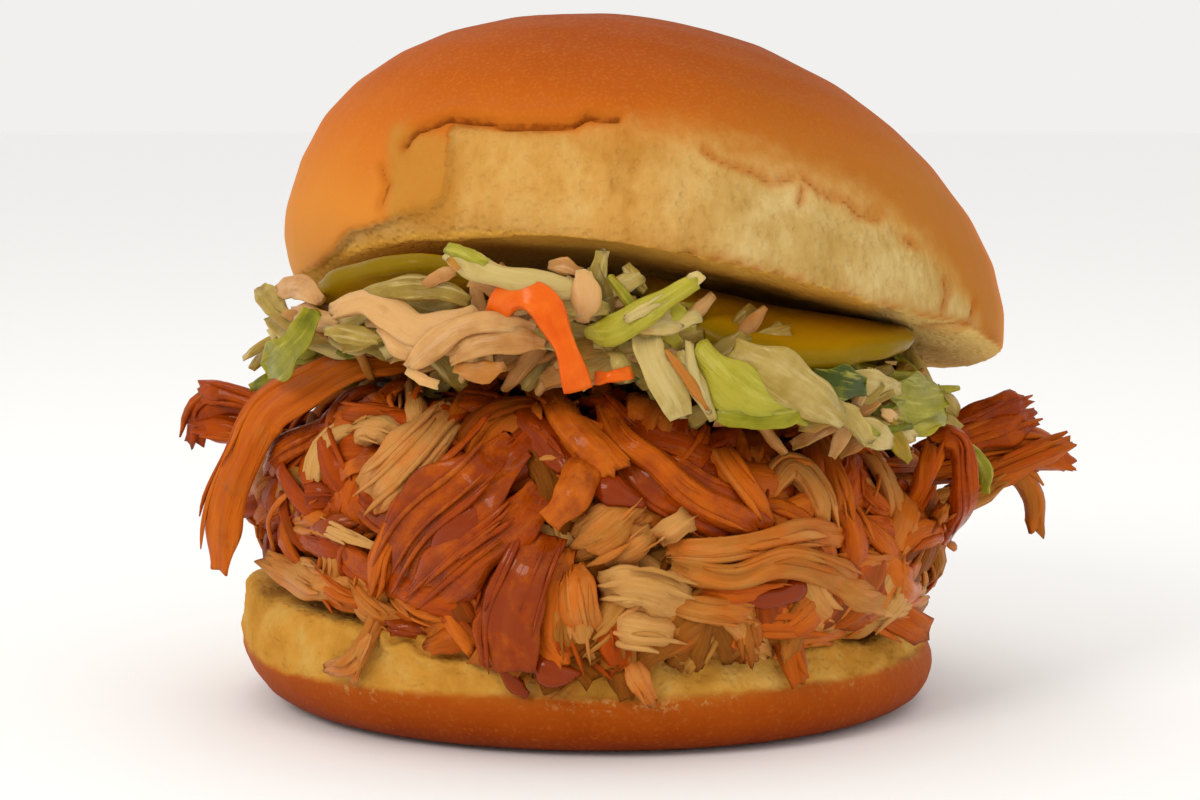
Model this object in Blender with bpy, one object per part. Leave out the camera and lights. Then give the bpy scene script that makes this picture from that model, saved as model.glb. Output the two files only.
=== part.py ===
"""Pulled pork sandwich: a split bun, a wide heap of pulled pork, cabbage slaw and two pickle slices.

Metres, +Z up. X runs across the sandwich, -Y is its front, and the origin is the middle of the
flat base of the lower bun half. The upper half leans back and to the right on its filling.
"""

import math

import bmesh
import bpy
from mathutils import Matrix, Vector, noise

GAP = 0.0004  # clearance between pieces that lie on each other
AROUND = 54  # points round each turned piece
PORK_AROUND = 52

# Lower bun half.
HEEL_BASE = 0.0445  # radius of the flat it stands on
HEEL_WIDEST = 0.0528
HEEL_CUT = 0.0508  # radius of its cut face
HEEL_THICK = 0.0160
HEEL_FALL = 0.058  # how much the cut face drops for each metre to the right
HEEL_ASIDE = Vector((-0.0030, 0.0, 0.0))  # how far its upper part has slumped

# Upper bun half, in a frame of its own with the widest ring at height 0.
CROWN_PLACE = Vector((0.0068, 0.0, 0.0625))
CROWN_LEAN = math.radians(-10.6)  # front edge lifted
CROWN_ROLL = math.radians(11.2)  # right side lower
CROWN_WIDEST = 0.0558
CROWN_DOME = 0.0396
CROWN_FULLNESS = 2.03  # exponent of the dome's outline: 2 is an ellipse, more is boxier
CROWN_FLATTER = 0.22  # how much less full it is on the right
CUT_DEPTH = 0.0092  # cut face below the widest ring, at the middle
CUT_SLOPE = 0.085  # and how much less of it there is for each metre to the right
CUT_LIFT = 0.0072  # how far the front of the cut face is bent up by the filling
CUT_LIFT_LEFT = 9.0  # and the share more of it for each metre to the left
CUT_HOLLOW = 0.0088  # how far the filling has pressed the middle of it up
RIM_TUCK = 0.0045  # how far the rim draws in under the widest ring

# Filling.
FILLING_DEPTH = 0.0163  # slaw and pickles, measured down from the upper bun half
SEAM_HUMPS = (((-0.042, -0.032), 0.0058, 0.020), ((0.060, -0.006), 0.0060, 0.020))  # middle, rise, breadth
PORK_REACH = (0.0600, 0.0605, 0.0570, 0.0550, 0.0580, 0.0560, 0.0550, 0.0560)  # from +X, each 45 degrees
SLAW_REACH = (0.0530, 0.0490, 0.0470, 0.0480, 0.0520, 0.0520, 0.0500, 0.0535)
SLAW_SINK = 0.0012  # how far it reaches into the pork before the pork is cut out of it
SLAW_DROP = 0.0050  # how much lower its top is at the very front
PICKLE_RADIUS = 0.0205
PICKLE_THICK = 0.0034

COLOURS = {
    "crust": ((0.44, 0.12, 0.015), 0.42),
    "crumb": ((0.60, 0.33, 0.09), 0.80),
    "pork": ((0.42, 0.12, 0.02), 0.35),
    "cabbage": ((0.55, 0.50, 0.20), 0.35),
    "carrot": ((0.80, 0.16, 0.02), 0.30),
    "pickle": ((0.18, 0.11, 0.005), 0.25),
}


def material(name):
    """A plain finish from the table of colours, made once."""
    found = bpy.data.materials.get(name)
    if found:
        return found
    colour, roughness = COLOURS[name]
    made = bpy.data.materials.new(name)
    made.use_nodes = True
    shader = made.node_tree.nodes["Principled BSDF"]
    shader.inputs["Base Color"].default_value = (*colour, 1.0)
    shader.inputs["Roughness"].default_value = roughness
    shader.inputs["Metallic"].default_value = 0.0
    return made


def add_object(name, mesh, finish, parent=None):
    """Links a mesh as a named, smooth-shaded piece."""
    mesh.materials.append(material(finish))
    mesh.shade_smooth()
    piece = bpy.data.objects.new(name, mesh)
    piece.parent = parent
    bpy.context.scene.collection.objects.link(piece)
    return piece


def turned(name, section, around=AROUND):
    """A closed mesh from sections: section(angle) lists points from the lower pole to the upper one."""
    shape = bmesh.new()
    rings = []
    for step in range(around):
        points = section(math.tau * step / around)
        if not rings:
            poles = [shape.verts.new(points[0]), shape.verts.new(points[-1])]
        rings.append([shape.verts.new(p) for p in points[1:-1]])
    for step in range(around):
        one, two = rings[step], rings[(step + 1) % around]
        shape.faces.new((poles[0], two[0], one[0]))
        shape.faces.new((poles[1], one[-1], two[-1]))
        for low in range(len(one) - 1):
            shape.faces.new((one[low], two[low], two[low + 1], one[low + 1]))
    bmesh.ops.recalc_face_normals(shape, faces=shape.faces)
    mesh = bpy.data.meshes.new(name)
    shape.to_mesh(mesh)
    shape.free()
    return mesh


def smooth_route(points, steps):
    """Points of a Catmull-Rom curve through the given ones."""
    ends = [2 * points[0] - points[1], *points, 2 * points[-1] - points[-2]]
    route = []
    for a, b, c, d in zip(ends, ends[1:], ends[2:], ends[3:]):
        for step in range(steps):
            t = step / steps
            route.append(
                0.5 * (2 * b + (c - a) * t + (2 * a - 5 * b + 4 * c - d) * t**2 + (3 * b - a - 3 * c + d) * t**3)
            )
    return [*route, points[-1]]


def strip(name, points, width, thick, facing, grow=0.0, steps=3, sides=10):
    """A closed strip with round edges and blunt ends, along a smooth route, its flat side to facing."""
    route = smooth_route([Vector(p) for p in points], steps)
    shape = bmesh.new()
    rings = []
    for index, place in enumerate(route):
        along = (route[min(index + 1, len(route) - 1)] - route[max(index - 1, 0)]).normalized()
        across = along.cross(Vector(facing)).normalized()
        out = across.cross(along)
        share = index / (len(route) - 1)
        taper = 0.45 + 0.55 * math.sin(math.pi * min(max(share, 0.12), 0.88))
        ring = []
        for side in range(sides):
            turn = math.tau * side / sides
            ring.append(
                shape.verts.new(
                    place
                    + across * math.cos(turn) * (width / 2 * taper + grow)
                    + out * math.sin(turn) * (thick / 2 * taper + grow)
                    + along * grow * (1 if index == len(route) - 1 else -1 if index == 0 else 0)
                )
            )
        rings.append(ring)
    for one, two in zip(rings, rings[1:]):
        for side in range(sides):
            nxt = (side + 1) % sides
            shape.faces.new((one[side], one[nxt], two[nxt], two[side]))
    shape.faces.new(rings[0][::-1])
    shape.faces.new(rings[-1])
    bmesh.ops.recalc_face_normals(shape, faces=shape.faces)
    mesh = bpy.data.meshes.new(name)
    shape.to_mesh(mesh)
    shape.free()
    return mesh


def reach(table, angle):
    """A radius that runs smoothly through a table of equally spaced compass points."""
    place = angle / math.tau * len(table)
    low = int(place) % len(table)
    t = place - int(place)
    a, b, c, d = (table[(low + k) % len(table)] for k in (-1, 0, 1, 2))
    return 0.5 * (2 * b + (c - a) * t + (2 * a - 5 * b + 4 * c - d) * t**2 + (3 * b - a - 3 * c + d) * t**3)


def unevenness(place, scale, seed):
    """Smooth noise from about -1 to 1 whose lumps are about scale across."""
    return noise.noise(place / scale + Vector((seed, 7.1 * seed, -3.3 * seed)))


def heel_section(angle, grow=0.0):
    """Lower bun half: a flat base, a round side that bulges, and a sloping cut face."""
    turn = Vector((math.cos(angle), math.sin(angle), 0.0))
    wobble = 1 + 0.010 * math.cos(2 * angle + 0.6) + 0.007 * math.cos(3 * angle + 2.0)

    def ring(radius, share):
        """A point at that radius and share of the height to the cut face."""
        place = turn * (radius * wobble + grow) + HEEL_ASIDE * share
        top = HEEL_THICK - HEEL_FALL * place.x
        return Vector((place.x, place.y, top * share + (grow if share > 0.5 else -grow)))

    side = []
    for step in range(7):
        bend = math.pi / 2 * step / 6
        side.append(ring(HEEL_BASE + (HEEL_WIDEST - HEEL_BASE) * math.sin(bend), 0.55 * (1 - math.cos(bend))))
    upper = [ring(HEEL_WIDEST - 0.0004, 0.72), ring(HEEL_CUT, 0.93), ring(HEEL_CUT - 0.0015, 1.0)]
    face = [ring(HEEL_CUT * share, 1.0) for share in (0.75, 0.4)]
    return [
        Vector((0.0, 0.0, -grow)),
        ring(HEEL_BASE * 0.6, 0.0),
        *side,
        *upper,
        *face,
        Vector((HEEL_ASIDE.x, 0.0, HEEL_THICK - HEEL_FALL * HEEL_ASIDE.x + grow)),
    ]


def crown_frame():
    """From the upper bun half's own frame to the sandwich's."""
    return (
        Matrix.Translation(CROWN_PLACE)
        @ Matrix.Rotation(CROWN_ROLL, 4, "Y")
        @ Matrix.Rotation(CROWN_LEAN, 4, "X")
    )


def cut_height(x, y):
    """Height of the upper bun half's cut face in its own frame, bent up towards the front."""
    front = max(0.0, -y) / CROWN_WIDEST
    hollow = max(0.0, 1 - (x * x + y * y) / CROWN_WIDEST**2)
    return -CUT_DEPTH + CUT_SLOPE * x + CUT_LIFT * (1 - CUT_LIFT_LEFT * x) * front**2 + CUT_HOLLOW * hollow


def crown_section(angle, grow=0.0):
    """Upper bun half: a cut face, a rim that draws in, and a full dome."""
    turn = Vector((math.cos(angle), math.sin(angle), 0.0))
    front = max(0.0, -turn.y)
    wobble = 1 + 0.008 * math.cos(2 * angle + 1.2) + 0.006 * math.cos(3 * angle)
    widest = (CROWN_WIDEST - 0.0022 * abs(turn.y)) * wobble
    power = 2 / (CROWN_FULLNESS - CROWN_FLATTER * turn.x)
    rim = widest - RIM_TUCK * (1.0 - 0.45 * front)

    def face(radius, lift):
        x, y = turn.x * (radius + grow), turn.y * (radius + grow)
        return Vector((x, y, cut_height(turn.x * radius, turn.y * radius) + lift))

    points = [Vector((0.0, 0.0, cut_height(0.0, 0.0) - grow))]
    points += [face(rim * share, -grow) for share in (0.35, 0.68, 0.93)]
    points += [face(rim, 0.0012 - grow / 2)]
    low = cut_height(turn.x * rim, turn.y * rim) + 0.0012
    for share in (0.35, 0.7):
        radius = rim + (widest - rim) * math.sin(math.pi / 2 * share) + grow
        points.append(Vector((turn.x * radius, turn.y * radius, low * (1 - share))))
    for step in range(9):
        rise = math.pi / 2 * step / 9
        radius = widest * math.cos(rise) ** power + grow
        height = CROWN_DOME * math.sin(rise) ** power + grow * math.sin(rise)
        points.append(Vector((turn.x * radius, turn.y * radius, height)))
    return [*points, Vector((0.0, 0.0, CROWN_DOME + grow))]


def cut_face_above(x, y):
    """World height of the upper bun half's cut face over a point of the sandwich."""
    frame = crown_frame()
    down = frame.inverted()
    height = CROWN_PLACE.z
    for _ in range(4):
        own = down @ Vector((x, y, height))
        height -= (own.z - cut_height(own.x, own.y)) / frame.col[2].z
    return height


def seam(x, y):
    """World height of the surface where the slaw lies on the pork."""
    bumps = 0.0016 * unevenness(Vector((x, y, 0.0)), 0.014, 3.0)
    for (middle_x, middle_y), rise, wide in SEAM_HUMPS:
        bumps += rise * math.exp(-((x - middle_x) ** 2 + (y - middle_y) ** 2) / wide**2)
    return cut_face_above(x, y) - FILLING_DEPTH + bumps


def pork_section(angle, grow=0.0):
    """The heap of pork: bulging and lumpy at its side, with the seam as its top."""
    turn = Vector((math.cos(angle), math.sin(angle), 0.0))
    wide = reach(PORK_REACH, angle)
    top = seam(turn.x * (wide - 0.012), turn.y * (wide - 0.012))
    foot = HEEL_THICK - 0.0020
    side = []
    for step in range(10):
        share = step / 9
        swell = math.sin(math.pi * (0.33 + 0.42 * share)) ** 0.6
        place = turn * wide * swell
        place.z = foot + (top - foot) * share
        lumps = unevenness(place, 0.012, 1.0) + 0.5 * unevenness(place, 0.006, 2.0)
        side.append(place + turn * (0.0030 * lumps + grow))
    inner = [turn * (wide - 0.012) * share for share in (0.8, 0.5, 0.25)]
    for place in inner:
        place.z = seam(place.x, place.y) + grow
    side[-1].z = min(side[-1].z, seam(side[-1].x, side[-1].y)) + grow
    return [
        Vector((0.0, 0.0, foot)),
        turn * 0.030 + Vector((0.0, 0.0, foot)),
        *side,
        *inner,
        Vector((0.0, 0.0, seam(0.0, 0.0) + grow)),
    ]


def slaw_top(x, y):
    """World height of the slaw's top, which drops away from the bun towards the front."""
    return cut_face_above(x, y) - 0.0020 - SLAW_DROP * (max(0.0, -y) / 0.050) ** 2


def slaw_section(angle):
    """The layer of slaw: its underside in the pork, a lumpy edge, and its top under the bun."""
    turn = Vector((math.cos(angle), math.sin(angle), 0.0))
    wide = reach(SLAW_REACH, angle)
    points = [Vector((0.0, 0.0, seam(0.0, 0.0) - SLAW_SINK))]
    for share in (0.3, 0.6, 0.85):
        place = turn * (wide - 0.003) * share
        points.append(Vector((place.x, place.y, seam(place.x, place.y) - SLAW_SINK)))
    for step in range(6):
        share = step / 5
        place = turn * (wide - 0.003 + 0.003 * math.sin(math.pi * share))
        low, high = seam(place.x, place.y) - SLAW_SINK, slaw_top(place.x, place.y) - 0.0005
        place.z = low + (high - low) * share
        lumps = unevenness(place, 0.009, 5.0) + 0.5 * unevenness(place, 0.005, 6.0)
        points.append(place + turn * 0.0032 * lumps * math.sin(math.pi * (0.1 + 0.8 * share)))
    for share in (0.85, 0.6, 0.3):
        place = turn * (wide - 0.003) * share
        points.append(Vector((place.x, place.y, slaw_top(place.x, place.y))))
    return [*points, Vector((0.0, 0.0, slaw_top(0.0, 0.0)))]


def pickle_section(angle, grow=0.0):
    """A slice of pickle: a flat disc with soft edges, slightly out of round."""
    turn = Vector((math.cos(angle), math.sin(angle), 0.0))
    radius = PICKLE_RADIUS * (1 + 0.02 * math.cos(2 * angle)) + grow
    half = PICKLE_THICK / 2 + grow
    outline = [(0.55, -1.0), (0.955, -1.0), (1.0, -0.55), (1.0, 0.55), (0.955, 1.0), (0.55, 1.0)]
    return [
        Vector((0.0, 0.0, -half)),
        *(turn * radius * share + Vector((0.0, 0.0, half * side)) for share, side in outline),
        Vector((0.0, 0.0, half)),
    ]


def hide_as_cutter(piece):
    piece.hide_render = True
    piece.display_type = "WIRE"
    return piece


def boolean(piece, other, operation):
    step = piece.modifiers.new(f"{operation} {other.name}".lower(), "BOOLEAN")
    step.operation = operation
    step.object = other
    step.solver = "EXACT"


# Shreds and strips that stand out of the two heaps: route, width, thickness and the way each faces.
PORK_LIMBS = {
    "hanging strip": (
        ((-0.024, -0.037, 0.047), (-0.043, -0.034, 0.0465), (-0.0545, -0.025, 0.040),
         (-0.0590, -0.020, 0.029), (-0.0605, -0.017, 0.018)),
        0.0085, 0.0050, (-0.5, -1.0, 0.2)),
    "tuft at the right": (
        ((0.045, -0.006, 0.034), (0.058, -0.005, 0.036), (0.0665, -0.004, 0.037), (0.0735, -0.003, 0.035)),
        0.0120, 0.0090, (0.0, -1.0, 0.3)),
    "top of the tuft": (
        ((0.058, -0.004, 0.036), (0.064, -0.003, 0.040), (0.0685, -0.003, 0.0425)),
        0.0060, 0.0050, (0.0, -1.0, 0.0)),
    "tip under the tuft": (
        ((0.062, -0.004, 0.034), (0.0660, -0.005, 0.030), (0.0672, -0.005, 0.0255)),
        0.0050, 0.0040, (0.0, -1.0, 0.0)),
    "upper left tuft": (
        ((-0.044, -0.008, 0.040), (-0.054, -0.006, 0.043), (-0.0595, -0.005, 0.0435), (-0.0615, -0.005, 0.040)),
        0.0070, 0.0060, (0.0, -1.0, 0.2)),
    "lower right tip": (
        ((0.044, -0.014, 0.020), (0.051, -0.010, 0.014), (0.0545, -0.007, 0.0095)),
        0.0050, 0.0035, (0.4, -1.0, 0.3)),
    "drip over the left front": (
        ((-0.027, -0.040, 0.028), (-0.0320, -0.0495, 0.018), (-0.0350, -0.0505, 0.010)),
        0.0060, 0.0030, (-0.5, -1.0, 0.0)),
    "sauced lump at the front": (
        ((-0.012, -0.050, 0.030), (-0.0095, -0.0560, 0.020), (-0.0085, -0.0560, 0.012)),
        0.0150, 0.0050, (-0.1, -1.0, 0.0)),
    "tag over the front": (
        ((0.003, -0.046, 0.023), (0.0055, -0.0545, 0.014), (0.0075, -0.0550, 0.0085)),
        0.0040, 0.0030, (0.1, -1.0, 0.0)),
}
PORK_BY_SLAW = ("hanging strip", "upper left tuft", "tuft at the right")  # the ones that pass the slaw
SLAW_LIMBS = {
    "pale strip at the front": (
        ((-0.0195, -0.0545, 0.0705), (-0.010, -0.0555, 0.0670), (0.0010, -0.0530, 0.0635), (0.006, -0.040, 0.0565)),
        0.0070, 0.0030, (0.0, -1.0, 0.3)),
    "green strip at the front": (
        ((-0.002, -0.0430, 0.0540), (0.0035, -0.0535, 0.0585), (0.0080, -0.0555, 0.0625), (0.0125, -0.0560, 0.0665)),
        0.0055, 0.0028, (0.1, -1.0, 0.3)),
    "leaf at the right": (
        ((0.011, -0.0430, 0.0510), (0.0250, -0.0480, 0.0510), (0.0400, -0.0400, 0.0460)),
        0.0100, 0.0060, (0.3, -1.0, 0.4)),
    "green tuft at the right": (
        ((0.042, -0.020, 0.0440), (0.0500, -0.012, 0.0440), (0.0555, -0.008, 0.0430)),
        0.0110, 0.0080, (0.2, -1.0, 0.3)),
    "tuft at the left": (
        ((-0.042, -0.014, 0.0540), (-0.0490, -0.009, 0.0545), (-0.0550, -0.006, 0.0540)),
        0.0100, 0.0070, (-0.2, -1.0, 0.3)),
}
CARROT = (
    ((-0.0135, -0.0515, 0.0622), (-0.0075, -0.0548, 0.0630), (-0.0035, -0.0568, 0.0590), (-0.0015, -0.0576, 0.0530)),
    0.0062, 0.0030, (0.1, -1.0, 0.4))


def limb(name, shape, grow=0.0):
    points, width, thick, facing = shape
    return strip(name, points, width, thick, facing, grow)


def heap(name, section, limbs, finish, cutters, around):
    """A heap with its limbs joined on and its neighbours cut out of it."""
    piece = add_object(name, turned(name, section, around), finish)
    for part, shape in limbs.items():
        boolean(piece, hide_as_cutter(add_object(f"{name} {part}", limb(part, shape), finish)), "UNION")
    for cutter in cutters:
        boolean(piece, cutter, "DIFFERENCE")
    return piece


def build():
    for left_over in list(bpy.data.objects):
        bpy.data.objects.remove(left_over)
    seat = bpy.data.objects.new("upper half seat", None)
    seat.location = CROWN_PLACE
    seat.rotation_euler = (CROWN_LEAN, CROWN_ROLL, 0.0)
    bpy.context.scene.collection.objects.link(seat)

    def grown(name, mesh, parent=None):
        return hide_as_cutter(add_object(f"room for {name}", mesh, "crumb", parent))

    add_object("bun_heel", turned("bun_heel", heel_section), "crust")
    add_object("bun_crown", turned("bun_crown", crown_section), "crust", seat)
    heel_room = grown("heel", turned("heel room", lambda a: heel_section(a, GAP)))
    crown_room = grown("crown", turned("crown room", lambda a: crown_section(a, GAP)), seat)

    places = {
        # Propped on the slaw, its front edge up under the upper half's rim.
        "pickle_left": (None, Vector((-0.0205, -0.0270, 0.0606)), (-0.42, 0.12, 0.0)),
        # Lying on the slaw, its front and right edges lower.
        "pickle_right": (None, Vector((0.0250, -0.0270, 0.0584)), (-0.03, 0.215, 0.3)),
    }
    pickle_rooms = []
    for name, (parent, place, turn) in places.items():
        solid = add_object(name, turned(name, pickle_section, 40), "pickle", parent)
        room = grown(name, turned(name, lambda a: pickle_section(a, GAP), 40), parent)
        for piece in (solid, room):
            piece.location = place
            piece.rotation_euler = turn
        pickle_rooms.append(room)

    add_object("carrot_strip", limb("carrot_strip", CARROT), "carrot")
    carrot_room = grown("carrot", limb("carrot room", CARROT, GAP))
    pork_rooms = [grown("pork", turned("pork room", lambda a: pork_section(a, GAP), PORK_AROUND))]
    pork_rooms += [grown(part, limb(f"{part} room", PORK_LIMBS[part], GAP)) for part in PORK_BY_SLAW]
    heap("pulled_pork", pork_section, PORK_LIMBS, "pork", [heel_room, carrot_room], PORK_AROUND)
    heap("cabbage_slaw", slaw_section, SLAW_LIMBS, "cabbage", [crown_room, *pork_rooms, *pickle_rooms, carrot_room], 42)


build()
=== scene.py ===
"""The look of the pulled pork sandwich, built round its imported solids.

Metres, +Z up. -Y is the front of the sandwich. Sizes are given in millimetres where a name ends in _mm.
"""

import math

import bpy
import numpy as np
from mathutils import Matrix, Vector
from mathutils.bvhtree import BVHTree


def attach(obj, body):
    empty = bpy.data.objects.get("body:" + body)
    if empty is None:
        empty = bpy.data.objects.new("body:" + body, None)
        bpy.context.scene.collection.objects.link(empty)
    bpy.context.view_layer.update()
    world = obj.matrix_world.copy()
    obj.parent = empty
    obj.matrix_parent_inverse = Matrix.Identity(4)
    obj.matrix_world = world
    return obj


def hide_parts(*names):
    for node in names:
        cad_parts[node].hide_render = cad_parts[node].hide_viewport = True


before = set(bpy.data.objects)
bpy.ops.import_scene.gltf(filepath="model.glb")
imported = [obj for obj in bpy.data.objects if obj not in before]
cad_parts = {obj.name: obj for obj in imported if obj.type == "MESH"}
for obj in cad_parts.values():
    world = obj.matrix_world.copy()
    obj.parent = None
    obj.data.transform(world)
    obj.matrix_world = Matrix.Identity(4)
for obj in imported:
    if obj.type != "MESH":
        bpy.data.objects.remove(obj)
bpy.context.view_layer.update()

MM = 0.001
FRONT = -math.pi / 2  # the angle of -Y about the upright axis
MISSED = 0.01  # reach taken for a ray that meets nothing, in metres
chance = np.random.default_rng(11)


# ---------------------------------------------------------------- surfaces and noise


def lumps(places, size, seed=0.0):
    """Smooth random values from -1 to 1, in lumps about that size across."""
    spot = np.asarray(places, float) / size + seed * 17.3
    cell = np.floor(spot)
    part = spot - cell
    part = part * part * (3 - 2 * part)
    total = np.zeros(spot.shape[:-1])
    for corner in np.ndindex(*(2,) * spot.shape[-1]):
        mixed = np.sin((cell + corner) @ np.array((127.1, 311.7, 74.7))[: spot.shape[-1]]) * 43758.5
        total += (mixed - np.floor(mixed)) * np.prod(np.where(corner, part, 1 - part), axis=-1)
    return 2 * total - 1


def rough_lumps(places, size, seed=0.0, layers=3):
    """Lumps that carry smaller lumps."""
    return sum(lumps(places, size / 2**k, seed + k) / 2**k for k in range(layers)) / 1.6


def ease(low, high, values):
    """0 below low, 1 above high, and a smooth step between."""
    share = np.clip((np.asarray(values, float) - low) / (high - low), 0, 1)
    return share * share * (3 - 2 * share)


def unit(vectors):
    return vectors / np.maximum(np.linalg.norm(vectors, axis=-1, keepdims=True), 1e-12)


def soften(grid, times):
    """Averages a closed grid of rows and columns with its neighbours."""
    for _ in range(times):
        sides = (np.roll(grid, 1, 1) + np.roll(grid, -1, 1)) / 2
        padded = np.concatenate([grid[:1], grid, grid[-1:]])
        grid = 0.5 * grid + 0.25 * sides + 0.125 * (padded[:-2] + padded[2:])
    return grid


def solid_tree(node):
    """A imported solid, ready for finding where rays meet it."""
    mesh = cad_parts[node].data
    return BVHTree.FromPolygons([v.co for v in mesh.vertices], [p.vertices for p in mesh.polygons])


def skin_of(node, centre, columns, rows, flat, crowd=0.0, shrink=0.0, worn=0, smooth=5):
    """Rows and columns of points where rays from a centre leave a solid.

    A small flat gathers the rows near the height of the centre, and crowd gathers the columns at the
    front. worn takes off limbs narrower than that many columns, and shrink draws the surface in.
    """
    tree = solid_tree(node)
    turn = np.linspace(-math.pi, math.pi, columns, endpoint=False)
    turn = FRONT + turn - crowd * np.sin(turn)
    rise = flat * np.tan(np.linspace(-math.pi / 2, math.pi / 2, rows + 2)[1:-1])
    ways = unit(np.stack(np.broadcast_arrays(np.cos(turn), np.sin(turn), rise[:, None]), axis=-1))
    reach = np.empty((rows, columns))
    for row in range(rows):
        for column in range(columns):
            hit = tree.ray_cast(Vector(centre), Vector(ways[row, column]))
            reach[row, column] = hit[3] if hit[3] is not None else MISSED
    for step in range(worn):
        reach = np.minimum(reach, np.minimum(np.roll(reach, 1, 1), np.roll(reach, -1, 1)))
        if step % 2:
            reach[1:-1] = np.minimum(reach[1:-1], np.minimum(reach[:-2], reach[2:]))
    reach = soften(reach, smooth) - shrink
    return np.asarray(centre) + ways * reach[..., None]


def outward(grid):
    """Unit normals of a closed grid of rows and columns."""
    around = np.roll(grid, -1, 1) - np.roll(grid, 1, 1)
    return unit(np.cross(around, np.gradient(grid, axis=0)))


def closed_grid(grid):
    """Points and faces of a grid of rows and columns with a pole added at each end."""
    rows, columns = grid.shape[:2]
    places = np.concatenate([grid.reshape(-1, 3), [grid[0].mean(0), grid[-1].mean(0)]])
    index = np.arange(rows * columns).reshape(rows, columns)
    right = np.roll(index, -1, 1)
    faces = np.stack([index[:-1], right[:-1], right[1:], index[1:]], -1).reshape(-1, 4).tolist()
    low, high = rows * columns, rows * columns + 1
    faces += [(low, right[0, c], index[0, c]) for c in range(columns)]
    faces += [(high, index[-1, c], right[-1, c]) for c in range(columns)]
    return places, faces


def with_poles(values):
    """Values of a grid, flattened, with one more for each pole."""
    flat = values.reshape(-1, *values.shape[2:])
    return np.concatenate([flat, values[0].mean(0, keepdims=True), values[-1].mean(0, keepdims=True)])


def make_piece(name, places, faces, finish, slot, stands_for=(), **features):
    """A smooth-shaded mesh that rides with the sandwich. Features are values kept at each point."""
    mesh = bpy.data.meshes.new(name)
    mesh.from_pydata(np.asarray(places).tolist(), [], faces)
    for feature, values in features.items():
        values = np.asarray(values, np.float32)
        kind, field = ("FLOAT", "value") if values.ndim == 1 else ("FLOAT_VECTOR", "vector")
        mesh.attributes.new(feature, kind, "POINT").data.foreach_set(field, values.ravel())
    mesh.materials.append(finish)
    mesh.shade_smooth()
    piece = bpy.data.objects.new(name, mesh)
    bpy.context.scene.collection.objects.link(piece)
    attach(piece, "root")
    if stands_for:
        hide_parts(*stands_for)


def make_skin(name, grid, finish, slot, stands_for, **features):
    """A piece from a closed grid of rows and columns, with features given on the same grid."""
    places, faces = closed_grid(grid)
    kept = {feature: with_poles(values) for feature, values in features.items()}
    make_piece(name, places, faces, finish, slot, stands_for, **kept)


def from_line(x_mm, z_mm, line):
    """Distance in mm from front-view points to a line through given points."""
    nearest = np.full(np.shape(x_mm), 1e3)
    for (x1, z1), (x2, z2) in zip(line, line[1:]):
        run_x, run_z = x2 - x1, z2 - z1
        share = np.clip(((x_mm - x1) * run_x + (z_mm - z1) * run_z) / (run_x**2 + run_z**2), 0, 1)
        nearest = np.minimum(nearest, np.hypot(x_mm - x1 - share * run_x, z_mm - z1 - share * run_z))
    return nearest


# ---------------------------------------------------------------- finishes


class Shade:
    """A shader socket that takes part in sums: 1 - mask adds a Math node."""

    def __init__(self, finish, socket):
        self.finish = finish
        self.socket = socket

    def _sum(self, operation, first, second):
        return self.finish.add("ShaderNodeMath", {"operation": operation}, {0: first, 1: second})

    def __add__(self, other):
        return self._sum("ADD", self, other)

    def __radd__(self, other):
        return self._sum("ADD", other, self)

    def __sub__(self, other):
        return self._sum("SUBTRACT", self, other)

    def __rsub__(self, other):
        return self._sum("SUBTRACT", other, self)

    def __mul__(self, other):
        return self._sum("MULTIPLY", self, other)

    def __rmul__(self, other):
        return self._sum("MULTIPLY", other, self)


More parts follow.
